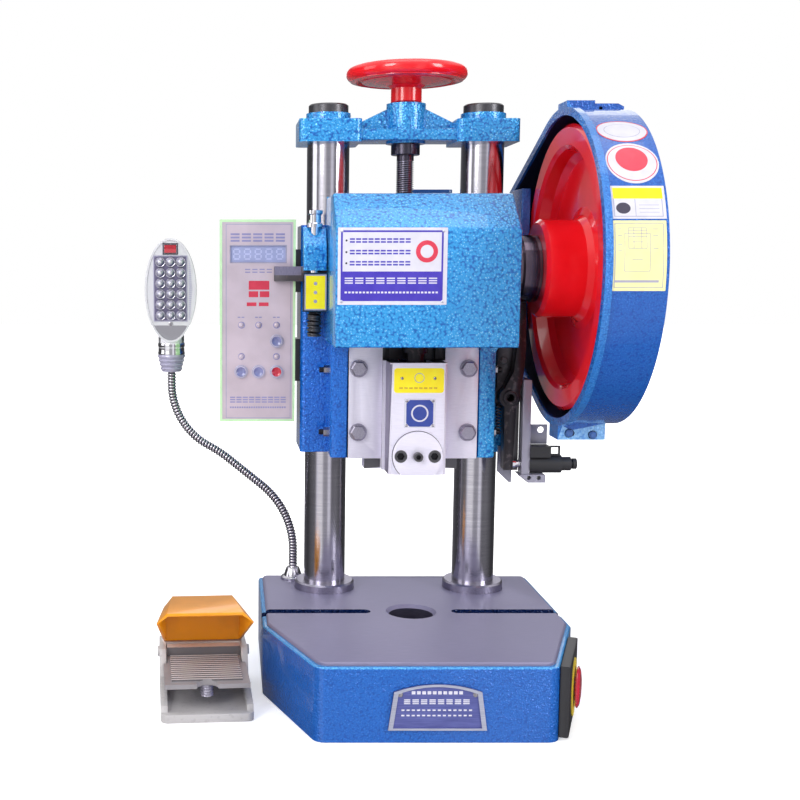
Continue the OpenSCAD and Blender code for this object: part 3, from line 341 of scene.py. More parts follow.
# %% [markdown]
# ### Bare metals
# Machined faces show where the tool ran: the table's lines run from side to side, the columns' run
# round them, and the gibs' lie across. Noise squeezed along one axis draws such lines in colour,
# roughness and bump together. Oxide and forged skins are matt with scattered rust-brown specks.

# %% Metals
def cut_metal(name, pale, dark, roughness, lines, metallic=1.0, depth=0.00006):
    """Machined metal: tool marks drawn out along the axes that lines gives the smaller numbers."""
    metal = finish(name, pale, roughness, metallic=metallic)
    fine = grain(metal, 60, stretch=lines, detail=6)
    clouds = grain(metal, 9, detail=4)
    streaked = ramp(metal, fine, (0.32, dark), (0.68, pale))
    colour_from(metal, mixed(metal, ramp(metal, clouds, (0.4, 0.0), (0.8, 0.45)), streaked, dark))
    roughness_from(metal, fine, roughness * 0.75, roughness * 1.35)
    raised_by(metal, (fine, 0.25, depth))
    return metal


GROUND_STEEL = cut_metal("ground_steel", (0.66, 0.64, 0.70), (0.50, 0.48, 0.54), 0.16, (0.6, 0.6, 60))
BRIGHT_STEEL = cut_metal("bright_steel", (0.87, 0.84, 0.97), (0.79, 0.76, 0.89), 0.42, (2, 2, 40), metallic=0.3)
TABLE_IRON = cut_metal(
    "machined_table", (0.27, 0.25, 0.38), (0.20, 0.19, 0.30), 0.46, (1.2, 40, 40), metallic=0.35, depth=0.00012
)
CLUTCH_STEEL = cut_metal("clutch_steel", (0.16, 0.125, 0.16), (0.07, 0.05, 0.07), 0.1, (60, 1, 1))
SHAFT_STEEL = cut_metal("turned_steel", (0.60, 0.58, 0.62), (0.42, 0.40, 0.44), 0.24, (60, 1, 1))


def dark_metal(name, colour, speck, roughness, metallic=0.7, lump=90, depth=0.0004):
    """Oxide or forged skin: specks, worn edges and a lumpy surface."""
    metal = finish(name, colour, roughness, metallic=metallic)
    specks = ramp(metal, grain(metal, 260, detail=3), (0.56, 0.0), (0.70, 0.8))
    bare = mixed(metal, specks, colour, speck)
    edge = worn_edge(metal)
    colour_from(metal, mixed(metal, edge, bare, tuple(min(1, 2.2 * c + 0.10) for c in colour)))
    raised_by(metal, (grain(metal, lump, detail=4), 0.3, depth))
    return metal


BLACK_OXIDE = dark_metal("black_oxide", (0.020, 0.019, 0.024), (0.06, 0.045, 0.05), 0.34, depth=0.0001)
FORGED_GREY = dark_metal("forged_grey", (0.085, 0.075, 0.085), (0.16, 0.11, 0.10), 0.42)
# Partly painted shade: the trip parts are dark forged steel, made darker still for the shadow they sit in.
TRIP_DARK_SHADED = dark_metal("trip_dark_painted_shade", (0.030, 0.026, 0.032), (0.10, 0.08, 0.09), 0.28, lump=140)
BRONZE = cut_metal("bronze", (0.60, 0.40, 0.16), (0.42, 0.26, 0.09), 0.3, (20, 1, 1))
SCREW_DARK = finish("screw_dark", (0.085, 0.077, 0.105), 0.22, metallic=0.85)
SCREW_CREST_HIGHLIGHT = finish("screw_crest_painted_highlight", (0.30, 0.28, 0.36), 0.26, metallic=0.85)
# Painted shade: the drop hole's wall is coloured much darker than the table iron, for the shade inside the hole.
BORE_SHADE = cut_metal("bored_iron_painted_shade", (0.09, 0.085, 0.13), (0.05, 0.045, 0.08), 0.34, (2, 2, 30), metallic=0.6)
COLLAR_STEEL = cut_metal("collar_steel", (0.46, 0.44, 0.54), (0.30, 0.28, 0.36), 0.3, (20, 20, 30))
BOLT_STEEL = cut_metal("bolt_steel", (0.60, 0.57, 0.68), (0.30, 0.28, 0.36), 0.32, (30, 1, 30), metallic=0.8)
STEEL_BLUE = cut_metal("blued_steel", (0.05, 0.10, 0.16), (0.03, 0.06, 0.10), 0.34, (20, 2, 2))
ARM_LILAC = cut_metal("sawn_steel", (0.30, 0.27, 0.38), (0.20, 0.18, 0.26), 0.42, (30, 30, 4), metallic=0.5)
LAMP_SILVER = finish("lamp_silver", (0.90, 0.89, 0.95), 0.14, metallic=0.75)
LAMP_SHELL = finish("lamp_shell", (0.86, 0.85, 0.91), 0.2, metallic=0.3, coat=0.6)
# Painted light on the lamp's domes: a grey for painted shade on rings and cup walls, and a darker one for shaded
# crescents.
CUP_SHADE_GREY = finish("cup_grey_painted_shade", (0.34, 0.32, 0.42), 0.25, metallic=0.6)
BEAD_SHADE = finish("bead_shade", (0.13, 0.12, 0.24), 0.2, metallic=0.4)
HOSE_STEEL = finish("hose_steel", (0.62, 0.60, 0.66), 0.16, metallic=1.0)
HOSE_GROOVE_SHADE = finish("hose_groove_painted_shade", (0.045, 0.04, 0.06), 0.4, metallic=0.6)
COLLAR_VIOLET = finish("collar_violet", (0.42, 0.40, 0.55), 0.35, metallic=0.2, coat=0.3)
FIELD_DARK = finish("field_dark", (0.20, 0.18, 0.30), 0.3, metallic=0.3)
CHROME = finish("chrome", (0.80, 0.79, 0.83), 0.09, metallic=1.0)
roughness_from(CHROME, grain(CHROME, 40, detail=4), 0.05, 0.16)
PEDAL_GREY = dark_metal(
    "pedal_grey", (0.52, 0.50, 0.51), (0.44, 0.42, 0.43), 0.44, metallic=0.1, lump=200, depth=0.0002
)

# %% [markdown]
# ### Rubber, plastics and printed film
# Moulded pieces get a fine etched texture, so that their highlight breaks up at its edge. The switch
# panel and the plates are printed film: one flat ink each, with a satin surface.

# %% Plastics
def moulded(name, colour, roughness, coat=0.0):
    """Plastic with an etched texture."""
    plastic = finish(name, colour, roughness, coat=coat)
    darker = tuple(c * 0.82 for c in colour)
    colour_from(plastic, ramp(plastic, grain(plastic, 30, detail=4), (0.3, darker), (0.65, colour)))
    raised_by(plastic, (grain(plastic, 900, detail=1), 0.25, 0.00008))
    return plastic


BELT_RUBBER = moulded("belt_rubber", (0.02, 0.02, 0.022), 0.7)
PANEL_MAUVE = moulded("panel_mauve", (0.60, 0.50, 0.57), 0.36)
BUTTON_WHITE = moulded("white_button", (0.22, 0.23, 0.46), 0.16, coat=0.8)
BUTTON_RED = moulded("red_button", (0.60, 0.02, 0.05), 0.22, coat=0.6)
ROCKER_RED = finish("rocker_red", (0.48, 0.012, 0.03), 0.12, coat=1.0)
BUTTON_RIM = moulded("button_rim", (0.60, 0.56, 0.72), 0.25, coat=0.4)
LENS_CLEAR = finish("lens", (0.36, 0.35, 0.45), 0.10, metallic=0.45, coat=0.8)
STOP_BLACK = moulded("stop_black", (0.025, 0.024, 0.028), 0.42)
STOP_YELLOW = moulded("stop_yellow", (0.80, 0.58, 0.03), 0.34)
PEDAL_ORANGE = moulded("pedal_orange", (0.96, 0.36, 0.008), 0.3, coat=0.3)
# Painted shade: a darker copy of the pedal's orange for the hood's downward faces inside.
HOOD_UNDERSIDE_SHADE = moulded("pedal_inside_painted_shade", (0.86, 0.27, 0.006), 0.4)
TREADLE_GREY = moulded("treadle_grey", (0.30, 0.28, 0.30), 0.42)
# Painted light on the treadle: a darker grey for painted shade on the ribs' walls, a lighter one for painted
# highlights on their tops.
GROOVE_SHADE = moulded("groove_painted_shade", (0.15, 0.14, 0.15), 0.5)
RIB_TOP_HIGHLIGHT = moulded("rib_grey_painted_highlight", (0.66, 0.62, 0.64), 0.36, coat=0.3)
NAME_PLATE = cut_metal("name_plate", (0.16, 0.18, 0.48), (0.10, 0.11, 0.34), 0.36, (1, 1, 20), metallic=0.5)
ALLOY = cut_metal("plate_edge", (0.70, 0.72, 0.84), (0.52, 0.54, 0.68), 0.3, (1, 1, 20), metallic=0.8)


def ink(name, colour, roughness=0.4):
    """Printed film: flat ink with a trace of unevenness and a satin skin."""
    film = finish(name, colour, roughness, coat=0.25)
    pale = tuple(min(1, c * 1.08 + 0.01) for c in colour)
    colour_from(film, ramp(film, grain(film, 120, detail=3), (0.35, colour), (0.7, pale)))
    return film


INK_WHITE = ink("ink_white", (0.62, 0.61, 0.70))
INK_VIOLET = ink("ink_violet", (0.045, 0.026, 0.40))
INK_NAVY = ink("ink_navy", (0.022, 0.050, 0.30))
INK_YELLOW = ink("ink_yellow", (1.0, 0.80, 0.0))
INK_PALE_YELLOW = ink("ink_pale_yellow", (0.80, 0.76, 0.36))
INK_RED = ink("ink_red", (0.62, 0.03, 0.07))
INK_OCHRE = ink("ink_ochre", (0.62, 0.40, 0.02))
INK_GREY = ink("ink_grey", (0.34, 0.33, 0.45))
INK_DARK = ink("ink_dark", (0.035, 0.03, 0.06))
INK_DISPLAY = ink("ink_display", (0.34, 0.37, 0.60), roughness=0.2)
INK_SLATE = ink("ink_slate", (0.25, 0.24, 0.45))
DIGIT_PALE = ink("digit_pale", (0.48, 0.51, 0.74), roughness=0.25)
EDGE_GREEN = ink("edge_green", (0.52, 0.78, 0.46))
print("finishes", len(bpy.data.materials))

# %% [markdown]
# ## Dressing the solids
# A solid whose shape is right keeps its mesh and only gets a finish. The castings and sheet-metal
# boxes have softer edges than a CAD solid can show, so a copy of each is merged, bevelled with the
# Bevel modifier, baked to a plain mesh and put in its place.

# %% Finish of each solid
SOLIDS_BY_FINISH = {
    BASE_BLUE: "base_casting", HAMMER_BLUE: "bridge hood motor_bracket brake_cap", HEAD_BLUE: "head_casting",
    GUARD_BLUE: "guard guard_bracket", MOTOR_BLUE: "motor fan_cowl", BOX_GREEN: "box_shell",
    WHEEL_RED: "handwheel flywheel", GROUND_STEEL: "column_left column_right", COLLAR_STEEL: "column_collars",
    BRIGHT_STEEL: "gib_left gib_right ram die_clamp", SHAFT_STEEL: "crankshaft motor_pulley",
    CLUTCH_STEEL: "clutch_sleeve", BOLT_STEEL: "pedal_spring", HOSE_STEEL: "lamp_stand",
    CHROME: "brake_bolt plunger", BRONZE: "lift_nut crank_bushes", NAME_PLATE: "nameplate",
    BLACK_OXIDE: "column_caps lead_screw ball_screw die_screws flywheel_nut box_bracket",
    FORGED_GREY: "gib_screws side_screws conrod brake_arm", TRIP_DARK_SHADED: "trip_carrier trip_lever",
    ZINC_GREY: "trip_plate trip_bracket", BELT_RUBBER: "drive_belt", STOP_BLACK: "solenoid stop_box",
    STOP_YELLOW: "stop_plate", PANEL_MAUVE: "box_panel", BUTTON_WHITE: "button_start button_count button_reset",
    BUTTON_RED: "button_off stop_button", LAMP_SHELL: "lamp_head", LENS_CLEAR: "lamp_lens",
    ROCKER_RED: "lamp_rocker", PEDAL_GREY: "pedal_body", PEDAL_ORANGE: "pedal_hood", TREADLE_GREY: "pedal_treadle",
}
FINISH_OF = {name: material for material, names in SOLIDS_BY_FINISH.items() for name in names.split()}
for name, material in FINISH_OF.items():
    mesh = node[name].data
    mesh.materials.clear()
    mesh.materials.append(material)
    mesh.polygons.foreach_set("material_index", [0] * len(mesh.polygons))
print("undressed solids", sorted(set(node) - set(FINISH_OF)))

# %% Helpers for new pieces
body_of = {name: body for body, names in frame["record"]["behaviour"]["bodies"].items() for name in names}


def mesh_from(shaped, name):
    """A new mesh out of a bmesh, which is then freed."""
    mesh = bpy.data.meshes.new(name)
    shaped.to_mesh(mesh)
    shaped.free()
    return mesh


def shade_by_angle(mesh, degrees=35):
    """Smooth shading, with creases where faces meet at more than the given angle."""
    shaped = bmesh.new()
    shaped.from_mesh(mesh)
    limit = math.radians(degrees)
    for face in shaped.faces:
        face.smooth = True
    for edge in shaped.edges:
        edge.smooth = len(edge.link_faces) == 2 and edge.calc_face_angle(4) < limit
    shaped.to_mesh(mesh)
    shaped.free()


def add_piece(name, mesh, material, on, replacing=False):
    """Put a finished mesh in the scene, riding with the solid named by on, or in that solid's place."""
    mesh.materials.clear()
    mesh.materials.append(material)
    piece = placed(name, mesh)
    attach(piece, body_of[on])
    if replacing:
        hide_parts(on)
    return piece


def baked(piece):
    """The mesh of an object with its modifiers applied."""
    bpy.context.view_layer.update()
    graph = bpy.context.evaluated_depsgraph_get()
    return bpy.data.meshes.new_from_object(piece.evaluated_get(graph))


# %% Softened castings
SHARP = math.radians(32)
soft = {}


def soften(name, width, share=None, segments=2):
    """Replace a solid by a copy with rounded edges; share gives each sharp edge its part of the width."""
    source = bmesh.new()
    source.from_mesh(node[name].data)
    bmesh.ops.remove_doubles(source, verts=source.verts, dist=2e-6)
    bmesh.ops.dissolve_limit(
        source, angle_limit=math.radians(1.2), verts=source.verts, edges=source.edges, delimit={"NORMAL"}
    )
    weight = source.edges.layers.float.new("bevel_weight_edge")
    for edge in source.edges:
        if len(edge.link_faces) == 2 and edge.calc_face_angle() > SHARP:
            edge[weight] = share(edge) if share else 1.0
    draft = placed(name + "_draft", mesh_from(source, name + "_soft"))
    bevel = draft.modifiers.new("edge", "BEVEL")
    bevel.width = width
    bevel.segments = segments
    bevel.limit_method = "WEIGHT"
    bevel.use_clamp_overlap = share is None
    bevel.miter_outer = "MITER_ARC"
    rounded = baked(draft)
    bpy.data.objects.remove(draft)
    shade_by_angle(rounded, 38)
    soft[name] = add_piece(name + "_soft", rounded, FINISH_OF[name], name, True)
    print(name, "softened:", len(rounded.polygons), "faces")


# Widths of the rounding, in millimetres
SOFT_EDGES = {
    "brake_cap": 0.9, "pedal_body": 1.1, "pedal_hood": 0.9, "guard_bracket": 0.8, "motor_bracket": 0.8,
    "gib_left": 0.5, "gib_right": 0.5, "trip_carrier": 1.0, "trip_bracket": 0.6, "trip_lever": 0.8,
    "die_clamp": 0.5, "brake_arm": 0.8, "motor": 0.4,
}
ROUND_CASTINGS = {"bridge": 0.7, "hood": 2.0, "head_casting": 1.8, "box_shell": 1.2, "stop_box": 1.0}


def long_outer(edge):
    """The long outer edges of a casting."""
    return 1.0 if edge.is_convex and edge.calc_length() > 9 * MM else 0.0


def base_edges(edge):
    """Upright corners of the base get the whole width and its top edges a third, clear of the slots."""
    slot_clear, corners_from, top_edges_from, long_edge = 12, 125, 61.5, 25
    a, b = (vert.co / MM for vert in edge.verts)
    middle, along = (a + b) / 2, b - a
    if abs(middle.y) < slot_clear or not edge.is_convex:
        return 0.0
    if abs(along.z) > 0.9 * along.length:
        return 1.0 if Vector((middle.x, middle.y)).length > corners_from else 0.0
    return 0.3 if middle.z > top_edges_from and along.length > long_edge else 0.0


soften("base_casting", 7 * MM, base_edges, segments=4)
for name, width in ROUND_CASTINGS.items():
    soften(name, width * MM, long_outer)
for name, width in SOFT_EDGES.items():
    soften(name, width * MM)


# %% Turned pieces
ORIGIN = (0, 0, 0)


def turned(profile, centre, axis="Y", segments=40):
    """Spin a closed profile of (radius, along) points about an axis through centre, in millimetres."""
    made = bmesh.new()
    rows = []
    for k in range(segments):
        a = 2 * math.pi * k / segments
        row = []
        for r, along in profile:
            p, q = r * math.cos(a), r * math.sin(a)
            offset = {"X": (along, p, q), "Y": (p, along, q), "Z": (p, q, along)}[axis]
            row.append(made.verts.new((Vector(centre) + Vector(offset)) * MM))
        rows.append(row)
    count = len(profile)
    for k in range(segments):
        here, there = rows[k], rows[(k + 1) % segments]
        for i in range(count):
            j = (i + 1) % count
            made.faces.new((here[i], here[j], there[j], there[i]))
    bmesh.ops.remove_doubles(made, verts=made.verts, dist=1e-7)
    bmesh.ops.recalc_face_normals(made, faces=made.faces)
    mesh = mesh_from(made, "turned")
    shade_by_angle(mesh)
    return mesh


def joined(meshes, name):
    """Several meshes as one."""
    whole = bmesh.new()
    for mesh in meshes:
        whole.from_mesh(mesh)
        bpy.data.meshes.remove(mesh)
    return mesh_from(whole, name)


def block(x, y, z):
    """A plain block between low and high pairs, in millimetres."""
    made = bmesh.new()
    bmesh.ops.create_cube(made, size=1)
    for vert in made.verts:
        vert.co = Vector([low + (high - low) * (co + 0.5) for co, (low, high) in zip(vert.co, (x, y, z))]) * MM
    return mesh_from(made, "block")


def refinish(piece, material, wanted):
    """Another finish on some faces of a piece; wanted picks them by centre, in millimetres, and normal."""
    piece.data.materials.append(material)
    index = len(piece.data.materials) - 1
    chosen = [face for face in piece.data.polygons if wanted(face.center / MM, face.normal)]
    for face in chosen:
        face.material_index = index
    print(piece.name, material.name, "on", len(chosen), "faces")


# %% [markdown]
# ### Repeats
# Screws, rivets and lamp cups are one small mesh set on many points. The points are the vertices of a
# bare mesh, and Geometry Nodes put a copy on each. Copies are made real at the end, because instances
# don't survive the export, and the finish is set last.

# %% Node trees for repeats and coils
def new_group(name, **kinds):
    """A Geometry Nodes tree that takes a source, a finish and the named inputs."""
    tree = bpy.data.node_groups.new(name, "GeometryNodeTree")
    tree.interface.new_socket("Made", in_out="OUTPUT", socket_type="NodeSocketGeometry")
    for label, kind in {"Source": "Geometry", "Finish": "Material", **kinds}.items():
        tree.interface.new_socket(label, in_out="INPUT", socket_type="NodeSocket" + kind)
    return tree, tree.nodes.new("NodeGroupInput").outputs


def step(tree, kind, inputs):
    """One more Geometry Nodes node: its first output."""
    return node_of(tree, "GeometryNode" + kind, inputs).outputs[0]


def circle(tree, radius, resolution):
    """A circle to sweep or to sweep along."""
    return step(tree, "CurvePrimitiveCircle", {"Radius": radius, "Resolution": resolution})


def painted_end(tree, source, finish):
    """Close a tree: make copies real, set the finish."""
    real = step(tree, "RealizeInstances", {0: source})
    painted = step(tree, "SetMaterial", {"Geometry": real, "Material": finish})
    tree.links.new(painted, tree.nodes.new("NodeGroupOutput").inputs[0])


STAMP_TREE, start = new_group("stamp", Stamp="Object")
copied = node_of(STAMP_TREE, "GeometryNodeObjectInfo", {"Object": start["Stamp"]}).outputs["Geometry"]
stamps = step(STAMP_TREE, "InstanceOnPoints", {"Points": start["Source"], "Instance": copied})
painted_end(STAMP_TREE, stamps, start["Finish"])

COIL_TREE, start = new_group("coil", Turns="Float", Radius="Float", Length="Float", Wire="Float")
spiral = step(COIL_TREE, "CurveSpiral", {
    "Resolution": 24, "Rotations": start["Turns"], "Start Radius": start["Radius"], "End Radius": start["Radius"],
    "Height": start["Length"],
})
section = circle(COIL_TREE, start["Wire"], 8)
wire = step(COIL_TREE, "CurveToMesh", {"Fill Caps": True, "Curve": spiral, "Profile Curve": section})
painted_end(COIL_TREE, wire, start["Finish"])


def dots(points):
    """A bare mesh with a vertex at each point, in millimetres."""
    mesh = bpy.data.meshes.new("dots")
    mesh.from_pydata([Vector(point) * MM for point in points], [], [])
    return mesh


def by_tree(tree, source, material, **values):
    """Run a tree on some points or a curve and keep the mesh that it makes."""
    draft = placed("draft", source)
    modifier = draft.modifiers.new("tree", "NODES")
    modifier.node_group = tree
    keys = {item.name: item.identifier for item in tree.interface.items_tree if item.in_out == "INPUT"}
    for name, value in {"Finish": material, **values}.items():
        modifier[keys[name]] = value
    mesh = baked(draft)
    bpy.data.objects.remove(draft)
    return mesh


def stamped(name, mesh, spots, material, on, degrees=35):
    """Copies of a small mesh at several spots, in millimetres, riding with the solid named by on."""
    stamp = placed("stamp", mesh)
    made = by_tree(STAMP_TREE, dots(spots), material, Stamp=stamp)
    bpy.data.objects.remove(stamp)
    shade_by_angle(made, degrees)
    return add_piece(name, made, material, on)


def coil(name, turns, radius, length, wire, place, material, on, turn=(0, 0, 0)):
    """A wire spring that starts at place, in millimetres, and climbs along the turned Z axis."""
    sizes = {"Turns": turns, "Radius": radius * MM, "Length": length * MM, "Wire": wire * MM}
    mesh = by_tree(COIL_TREE, dots([ORIGIN]), material, **sizes)
    spin = Matrix.Translation(Vector(place) * MM)
    for degrees, axis in zip(turn, "XYZ"):
        spin = spin @ Matrix.Rotation(math.radians(degrees), 4, axis)
    mesh.transform(spin)
    shade_by_angle(mesh, 60)
    return add_piece(name, mesh, material, on)




def screw_head(radius, height, sides=6):
    """A chamfered head that stands on a face towards the front."""
    profile = [(0, -height), (radius * 0.84, -height), (radius, -height * 0.82), (radius, 0.2), (0, 0.2)]
    return turned(profile, ORIGIN, segments=sides)


print("trees", [tree.name for tree in bpy.data.node_groups])

# %% [markdown]
# ## Plates and printed fields
# Plates are thin closed bodies laid on a face. An outline in millimetres is shrunk in rings about its
# middle, each point is laid on the surface by a function, and a second skin below closes the body.
# The rings let the same code follow a flat face and the round band of the guard.

# %% Plate helpers
def outline_of_box(u, v, radius, corner=5, side=1):
    """Points round a rectangle u = (low, high), v = (low, high) with round corners; side splits its sides."""
    centres = [(u[1] - radius, v[1] - radius, 0), (u[0] + radius, v[1] - radius, 90),
               (u[0] + radius, v[0] + radius, 180), (u[1] - radius, v[0] + radius, 270)]
    arcs = []
    for x, y, start in centres:
        turns = [math.radians(start + 90 * k / corner) for k in range(corner + 1)]
        arcs.append([(x + radius * math.cos(a), y + radius * math.sin(a)) for a in turns])
    points = []
    for arc, following in zip(arcs, arcs[1:] + arcs[:1]):
        (x0, y0), (x1, y1) = arc[-1], following[0]
        points += arc + [(x0 + (x1 - x0) * k / side, y0 + (y1 - y0) * k / side) for k in range(1, side)]
    return points


def outline_of_oval(u, v, half_u, half_v, count=48):
    """Points round an ellipse about (u, v)."""
    turn = [2 * math.pi * k / count for k in range(count)]
    return [(u + half_u * math.cos(a), v + half_v * math.sin(a)) for a in turn]


def facing_front(y):
    """Lay (u, v) on the upright plane at depth y: u runs right and v runs up."""
    return lambda u, v, lift: Vector((u, y - lift, v)) * MM


GUARD_R = 137.0


def on_guard_band(u, v, lift):
    """Lay (u, v) on the guard's band: u runs across the band, v is the arc from its front."""
    turn = v / GUARD_R
    r = GUARD_R + lift
    return Vector((u, -r * math.cos(turn), CRANK_Z + r * math.sin(turn))) * MM


def plate_mesh(shapes, place, lift, thick, rings=1):
    """One mesh with a closed thin body for each outline in shapes."""
    made = bmesh.new()
    for outline in shapes:
        middle = (sum(p[0] for p in outline) / len(outline), sum(p[1] for p in outline) / len(outline))
        skins = []
        for height in (lift, lift + thick):
            rows = [[made.verts.new(place(*middle, height))]]
            for ring in range(1, rings + 1):
                s = ring / rings
                rows.append([
                    made.verts.new(place(middle[0] + (u - middle[0]) * s, middle[1] + (v - middle[1]) * s, height))
                    for u, v in outline
                ])
            n = len(outline)
            for k in range(n):
                made.faces.new((rows[0][0], rows[1][k], rows[1][(k + 1) % n]))
                for inner, outer in zip(rows[1:], rows[2:]):
                    made.faces.new((inner[k], outer[k], outer[(k + 1) % n], inner[(k + 1) % n]))
            skins.append(rows[-1])
        for k in range(len(outline)):
            made.faces.new((skins[0][k], skins[0][k - 1], skins[1][k - 1], skins[1][k]))
    bmesh.ops.recalc_face_normals(made, faces=made.faces)
    return mesh_from(made, "plate")


def plate(name, shapes, place, material, on, lift=0.0, thick=0.2, rings=1):
    """A printed or metal plate that rides with the solid named by on."""
    mesh = plate_mesh(shapes, place, lift, thick, rings)
    return add_piece(name, mesh, material, on)


def bars(*boxes):
    """Outlines of plain rectangles (u low, u high, v low, v high)."""
    return [[(b[1], b[3]), (b[0], b[3]), (b[0], b[2]), (b[1], b[2])] for b in boxes]


def border(u, v, width):
    """Four bars that run just inside a rectangle."""
    return bars((u[0], u[1], v[1] - width, v[1]), (u[0], u[1], v[0], v[0] + width),
                (u[0], u[0] + width, v[0] + width, v[1] - width), (u[1] - width, u[1], v[0] + width, v[1] - width))


def worded(left, right, z, height, count, gap=0.28):
    """A row of plain blocks where a line of words would stand."""
    pitch = (right - left) / count
    return bars(*[(left + k * pitch, left + (k + 1 - gap) * pitch, z - height / 2, z + height / 2)
                  for k in range(count)])


# %% [markdown]
# ### Plates on the hood, the ram and the brake
# The large plate on the hood is white over violet. Its fields hold plain ruled lines and a red disc.

# %% Hood, ram and brake plates
def printed(place, on, *rows):
    """Plates on one face: each row is (name, outlines, finish, lift off the face, thickness)."""
    for name, shapes, material, *heights in rows:
        plate(name, shapes, place, material, on, *heights)


def disc(u, v, radius, count=40):
    return [outline_of_oval(u, v, radius, radius, count)]


def lines(offsets, left, right, z, *blocks):
    """Several rows of blocks, one above another, that stand for one line of large words."""
    return [bar for offset in offsets for bar in worded(left, right, z + offset, *blocks)]


HOOD_FACE = facing_front(-61.5)
RULE_ROWS = (400.2, 390.6, 381.4)
printed(
    HOOD_FACE, "hood",
    ("hood_plate", [outline_of_box((-75.8, 15.3), (346.9, 410.9), 0.6)], INK_WHITE),
    ("hood_plate_frame", border((-73.4, 11.9), (350.0, 408.6), 1.5), INK_VIOLET, 0.2, 0.06),
    ("hood_plate_band", bars((-71.9, 10.4, 351.5, 374.6)), INK_VIOLET, 0.2, 0.06),
    ("hood_plate_rules", [b for z in RULE_ROWS for b in lines((-1.2, 1.2), -66, -14.5, z, 1.3, 10, 0.2)],
     INK_VIOLET, 0.2, 0.06),
    ("hood_plate_dots", [outline_of_oval(-68.8, z, 0.9, 0.9, 12) for z in RULE_ROWS], INK_DARK, 0.2, 0.06),
    ("hood_plate_disc", disc(-1.8, 391.2, 9.2), INK_RED, 0.2, 0.06),
    ("hood_plate_ring", disc(-1.8, 391.2, 5.4), INK_WHITE, 0.26, 0.05),
    ("hood_plate_lines", lines((-2, 0, 2), -70, 9, 367, 1.0, 9, 0.22) + worded(-70, 9, 357.2, 1.5, 26, 0.36),
     INK_WHITE, 0.26, 0.05),
)


def cut_square(u, v, half, cut):
    """A square with its four corners cut off."""
    a, b = half, half - cut
    return [(u + x, v + y) for x, y in ((a, -b), (a, b), (b, a), (-b, a), (-a, b), (-a, -b), (-b, -a), (b, -a))]


RAM_FACE = facing_front(-20.0)
printed(
    RAM_FACE, "ram",
    ("ram_plate", [outline_of_box((-21.6, 22.2), (268.2, 290.0), 2.6)], INK_YELLOW),
    ("ram_plate_rules", worded(-17, 17.6, 272.4, 1.6, 8), INK_OCHRE, 0.2, 0.05),
    ("ram_plate_ring", disc(0.6, 281.4, 4.4, 32), INK_GREY, 0.2, 0.04),
    ("ram_plate_ring_core", disc(0.6, 281.4, 3.8, 32), INK_YELLOW, 0.24, 0.04),
    ("badge_back", [outline_of_box((-12.4, 15.2), (237.0, 263.2), 0.8)], INK_WHITE, 0, 0.35),
    ("badge_field", [cut_square(1.4, 250.1, 11.9, 3.2)], INK_NAVY, 0.35, 0.06),
    ("badge_inner", disc(1.4, 250.1, 7.6), INK_WHITE, 0.41, 0.05),
    ("badge_core", disc(1.4, 250.1, 6.2), INK_NAVY, 0.46, 0.05),
)
printed(
    facing_front(18.0), "brake_bolt",
    ("brake_plate", [outline_of_box((-98.4, -78.6), (339.0, 371.2), 0.6)], INK_GREY, 0, 0.25),
    ("brake_plate_field", [outline_of_box((-97.2, -79.8), (340.2, 370.0), 0.4)], INK_YELLOW, 0.25, 0.06),
    ("brake_plate_dots", [outline_of_oval(-88.5, z, 1.6, 1.6, 20) for z in (347, 355, 363)], INK_GREY, 0.31, 0.05),
)

# %% Plates round the guard
def arc_of(degrees):
    """Arc on the guard's band, from its front."""
    return math.radians(degrees) * GUARD_R


def on_guard(name, shapes, material, lift, thick=0.08):
    plate(name, shapes, on_guard_band, material, "guard", lift, thick, rings=4)


def long_bars(*boxes):
    """Bars split along their length, so that they bend round the band."""
    return [outline_of_box((b[0], b[1]), (b[2], b[3]), 0.05, corner=1, side=10) for b in boxes]


oval_v, disc_v = arc_of(54.2), arc_of(37.9)
for name, u, v, half_u, half_v, material, *heights in (
    ("guard_oval", 150.3, oval_v, 20.6, 16.2, INK_RED, 0.02, 0.14),
    ("guard_oval_field", 150.3, oval_v, 19.6, 15.0, INK_WHITE, 0.16),
    ("guard_oval_ring", 150.3, oval_v, 14.5, 10.2, INK_GREY, 0.24, 0.04),
    ("guard_oval_core", 150.3, oval_v, 14.0, 9.7, INK_WHITE, 0.28, 0.04),
    ("guard_disc", 150.4, disc_v, 20.8, 21.0, INK_WHITE, 0.02, 0.14),
    ("guard_disc_rim", 150.4, disc_v, 19.6, 18.7, INK_RED, 0.16, 0.04),
    ("guard_disc_inner", 150.4, disc_v, 18.9, 18.0, INK_WHITE, 0.20, 0.04),
    ("guard_disc_heart", 150.4, disc_v + 3, 12.6, 12.6, INK_RED, 0.24, 0.05),
):
    on_guard(name, [outline_of_oval(u, v, half_u, half_v)], material, *heights)
card = (arc_of(16.6), arc_of(28.2))
on_guard("guard_card", long_bars((129.4, 171.2, *card)), INK_WHITE, 0.02, 0.14)
on_guard("guard_card_band", long_bars((131.0, 169.4, card[1] - 11.2, card[1] - 1.8)), INK_YELLOW, 0.16)
on_guard("guard_card_rules", long_bars((130.8, 168.8, card[0] + 1.6, card[0] + 2.2),
         (130.8, 131.4, card[0] + 1.6, card[1] - 1.6), (168.2, 168.8, card[0] + 1.6, card[1] - 1.6),
         (147.4, 147.9, card[0] + 1.6, card[1] - 11.4), (150.5, 166, card[0] + 5, card[0] + 5.4),
         (150.5, 166, card[0] + 8, card[0] + 8.4), (150.5, 166, card[0] + 11, card[0] + 11.4)), INK_GREY, 0.16, 0.05)
on_guard("guard_card_block", [outline_of_oval(138.2, card[0] + 8.6, 5.6, 4.6, 32)], INK_DARK, 0.16, 0.05)
chart = (arc_of(-6.8), arc_of(16.0))
on_guard("guard_chart", long_bars((129.3, 170.6, *chart)), INK_PALE_YELLOW, 0.02, 0.14)
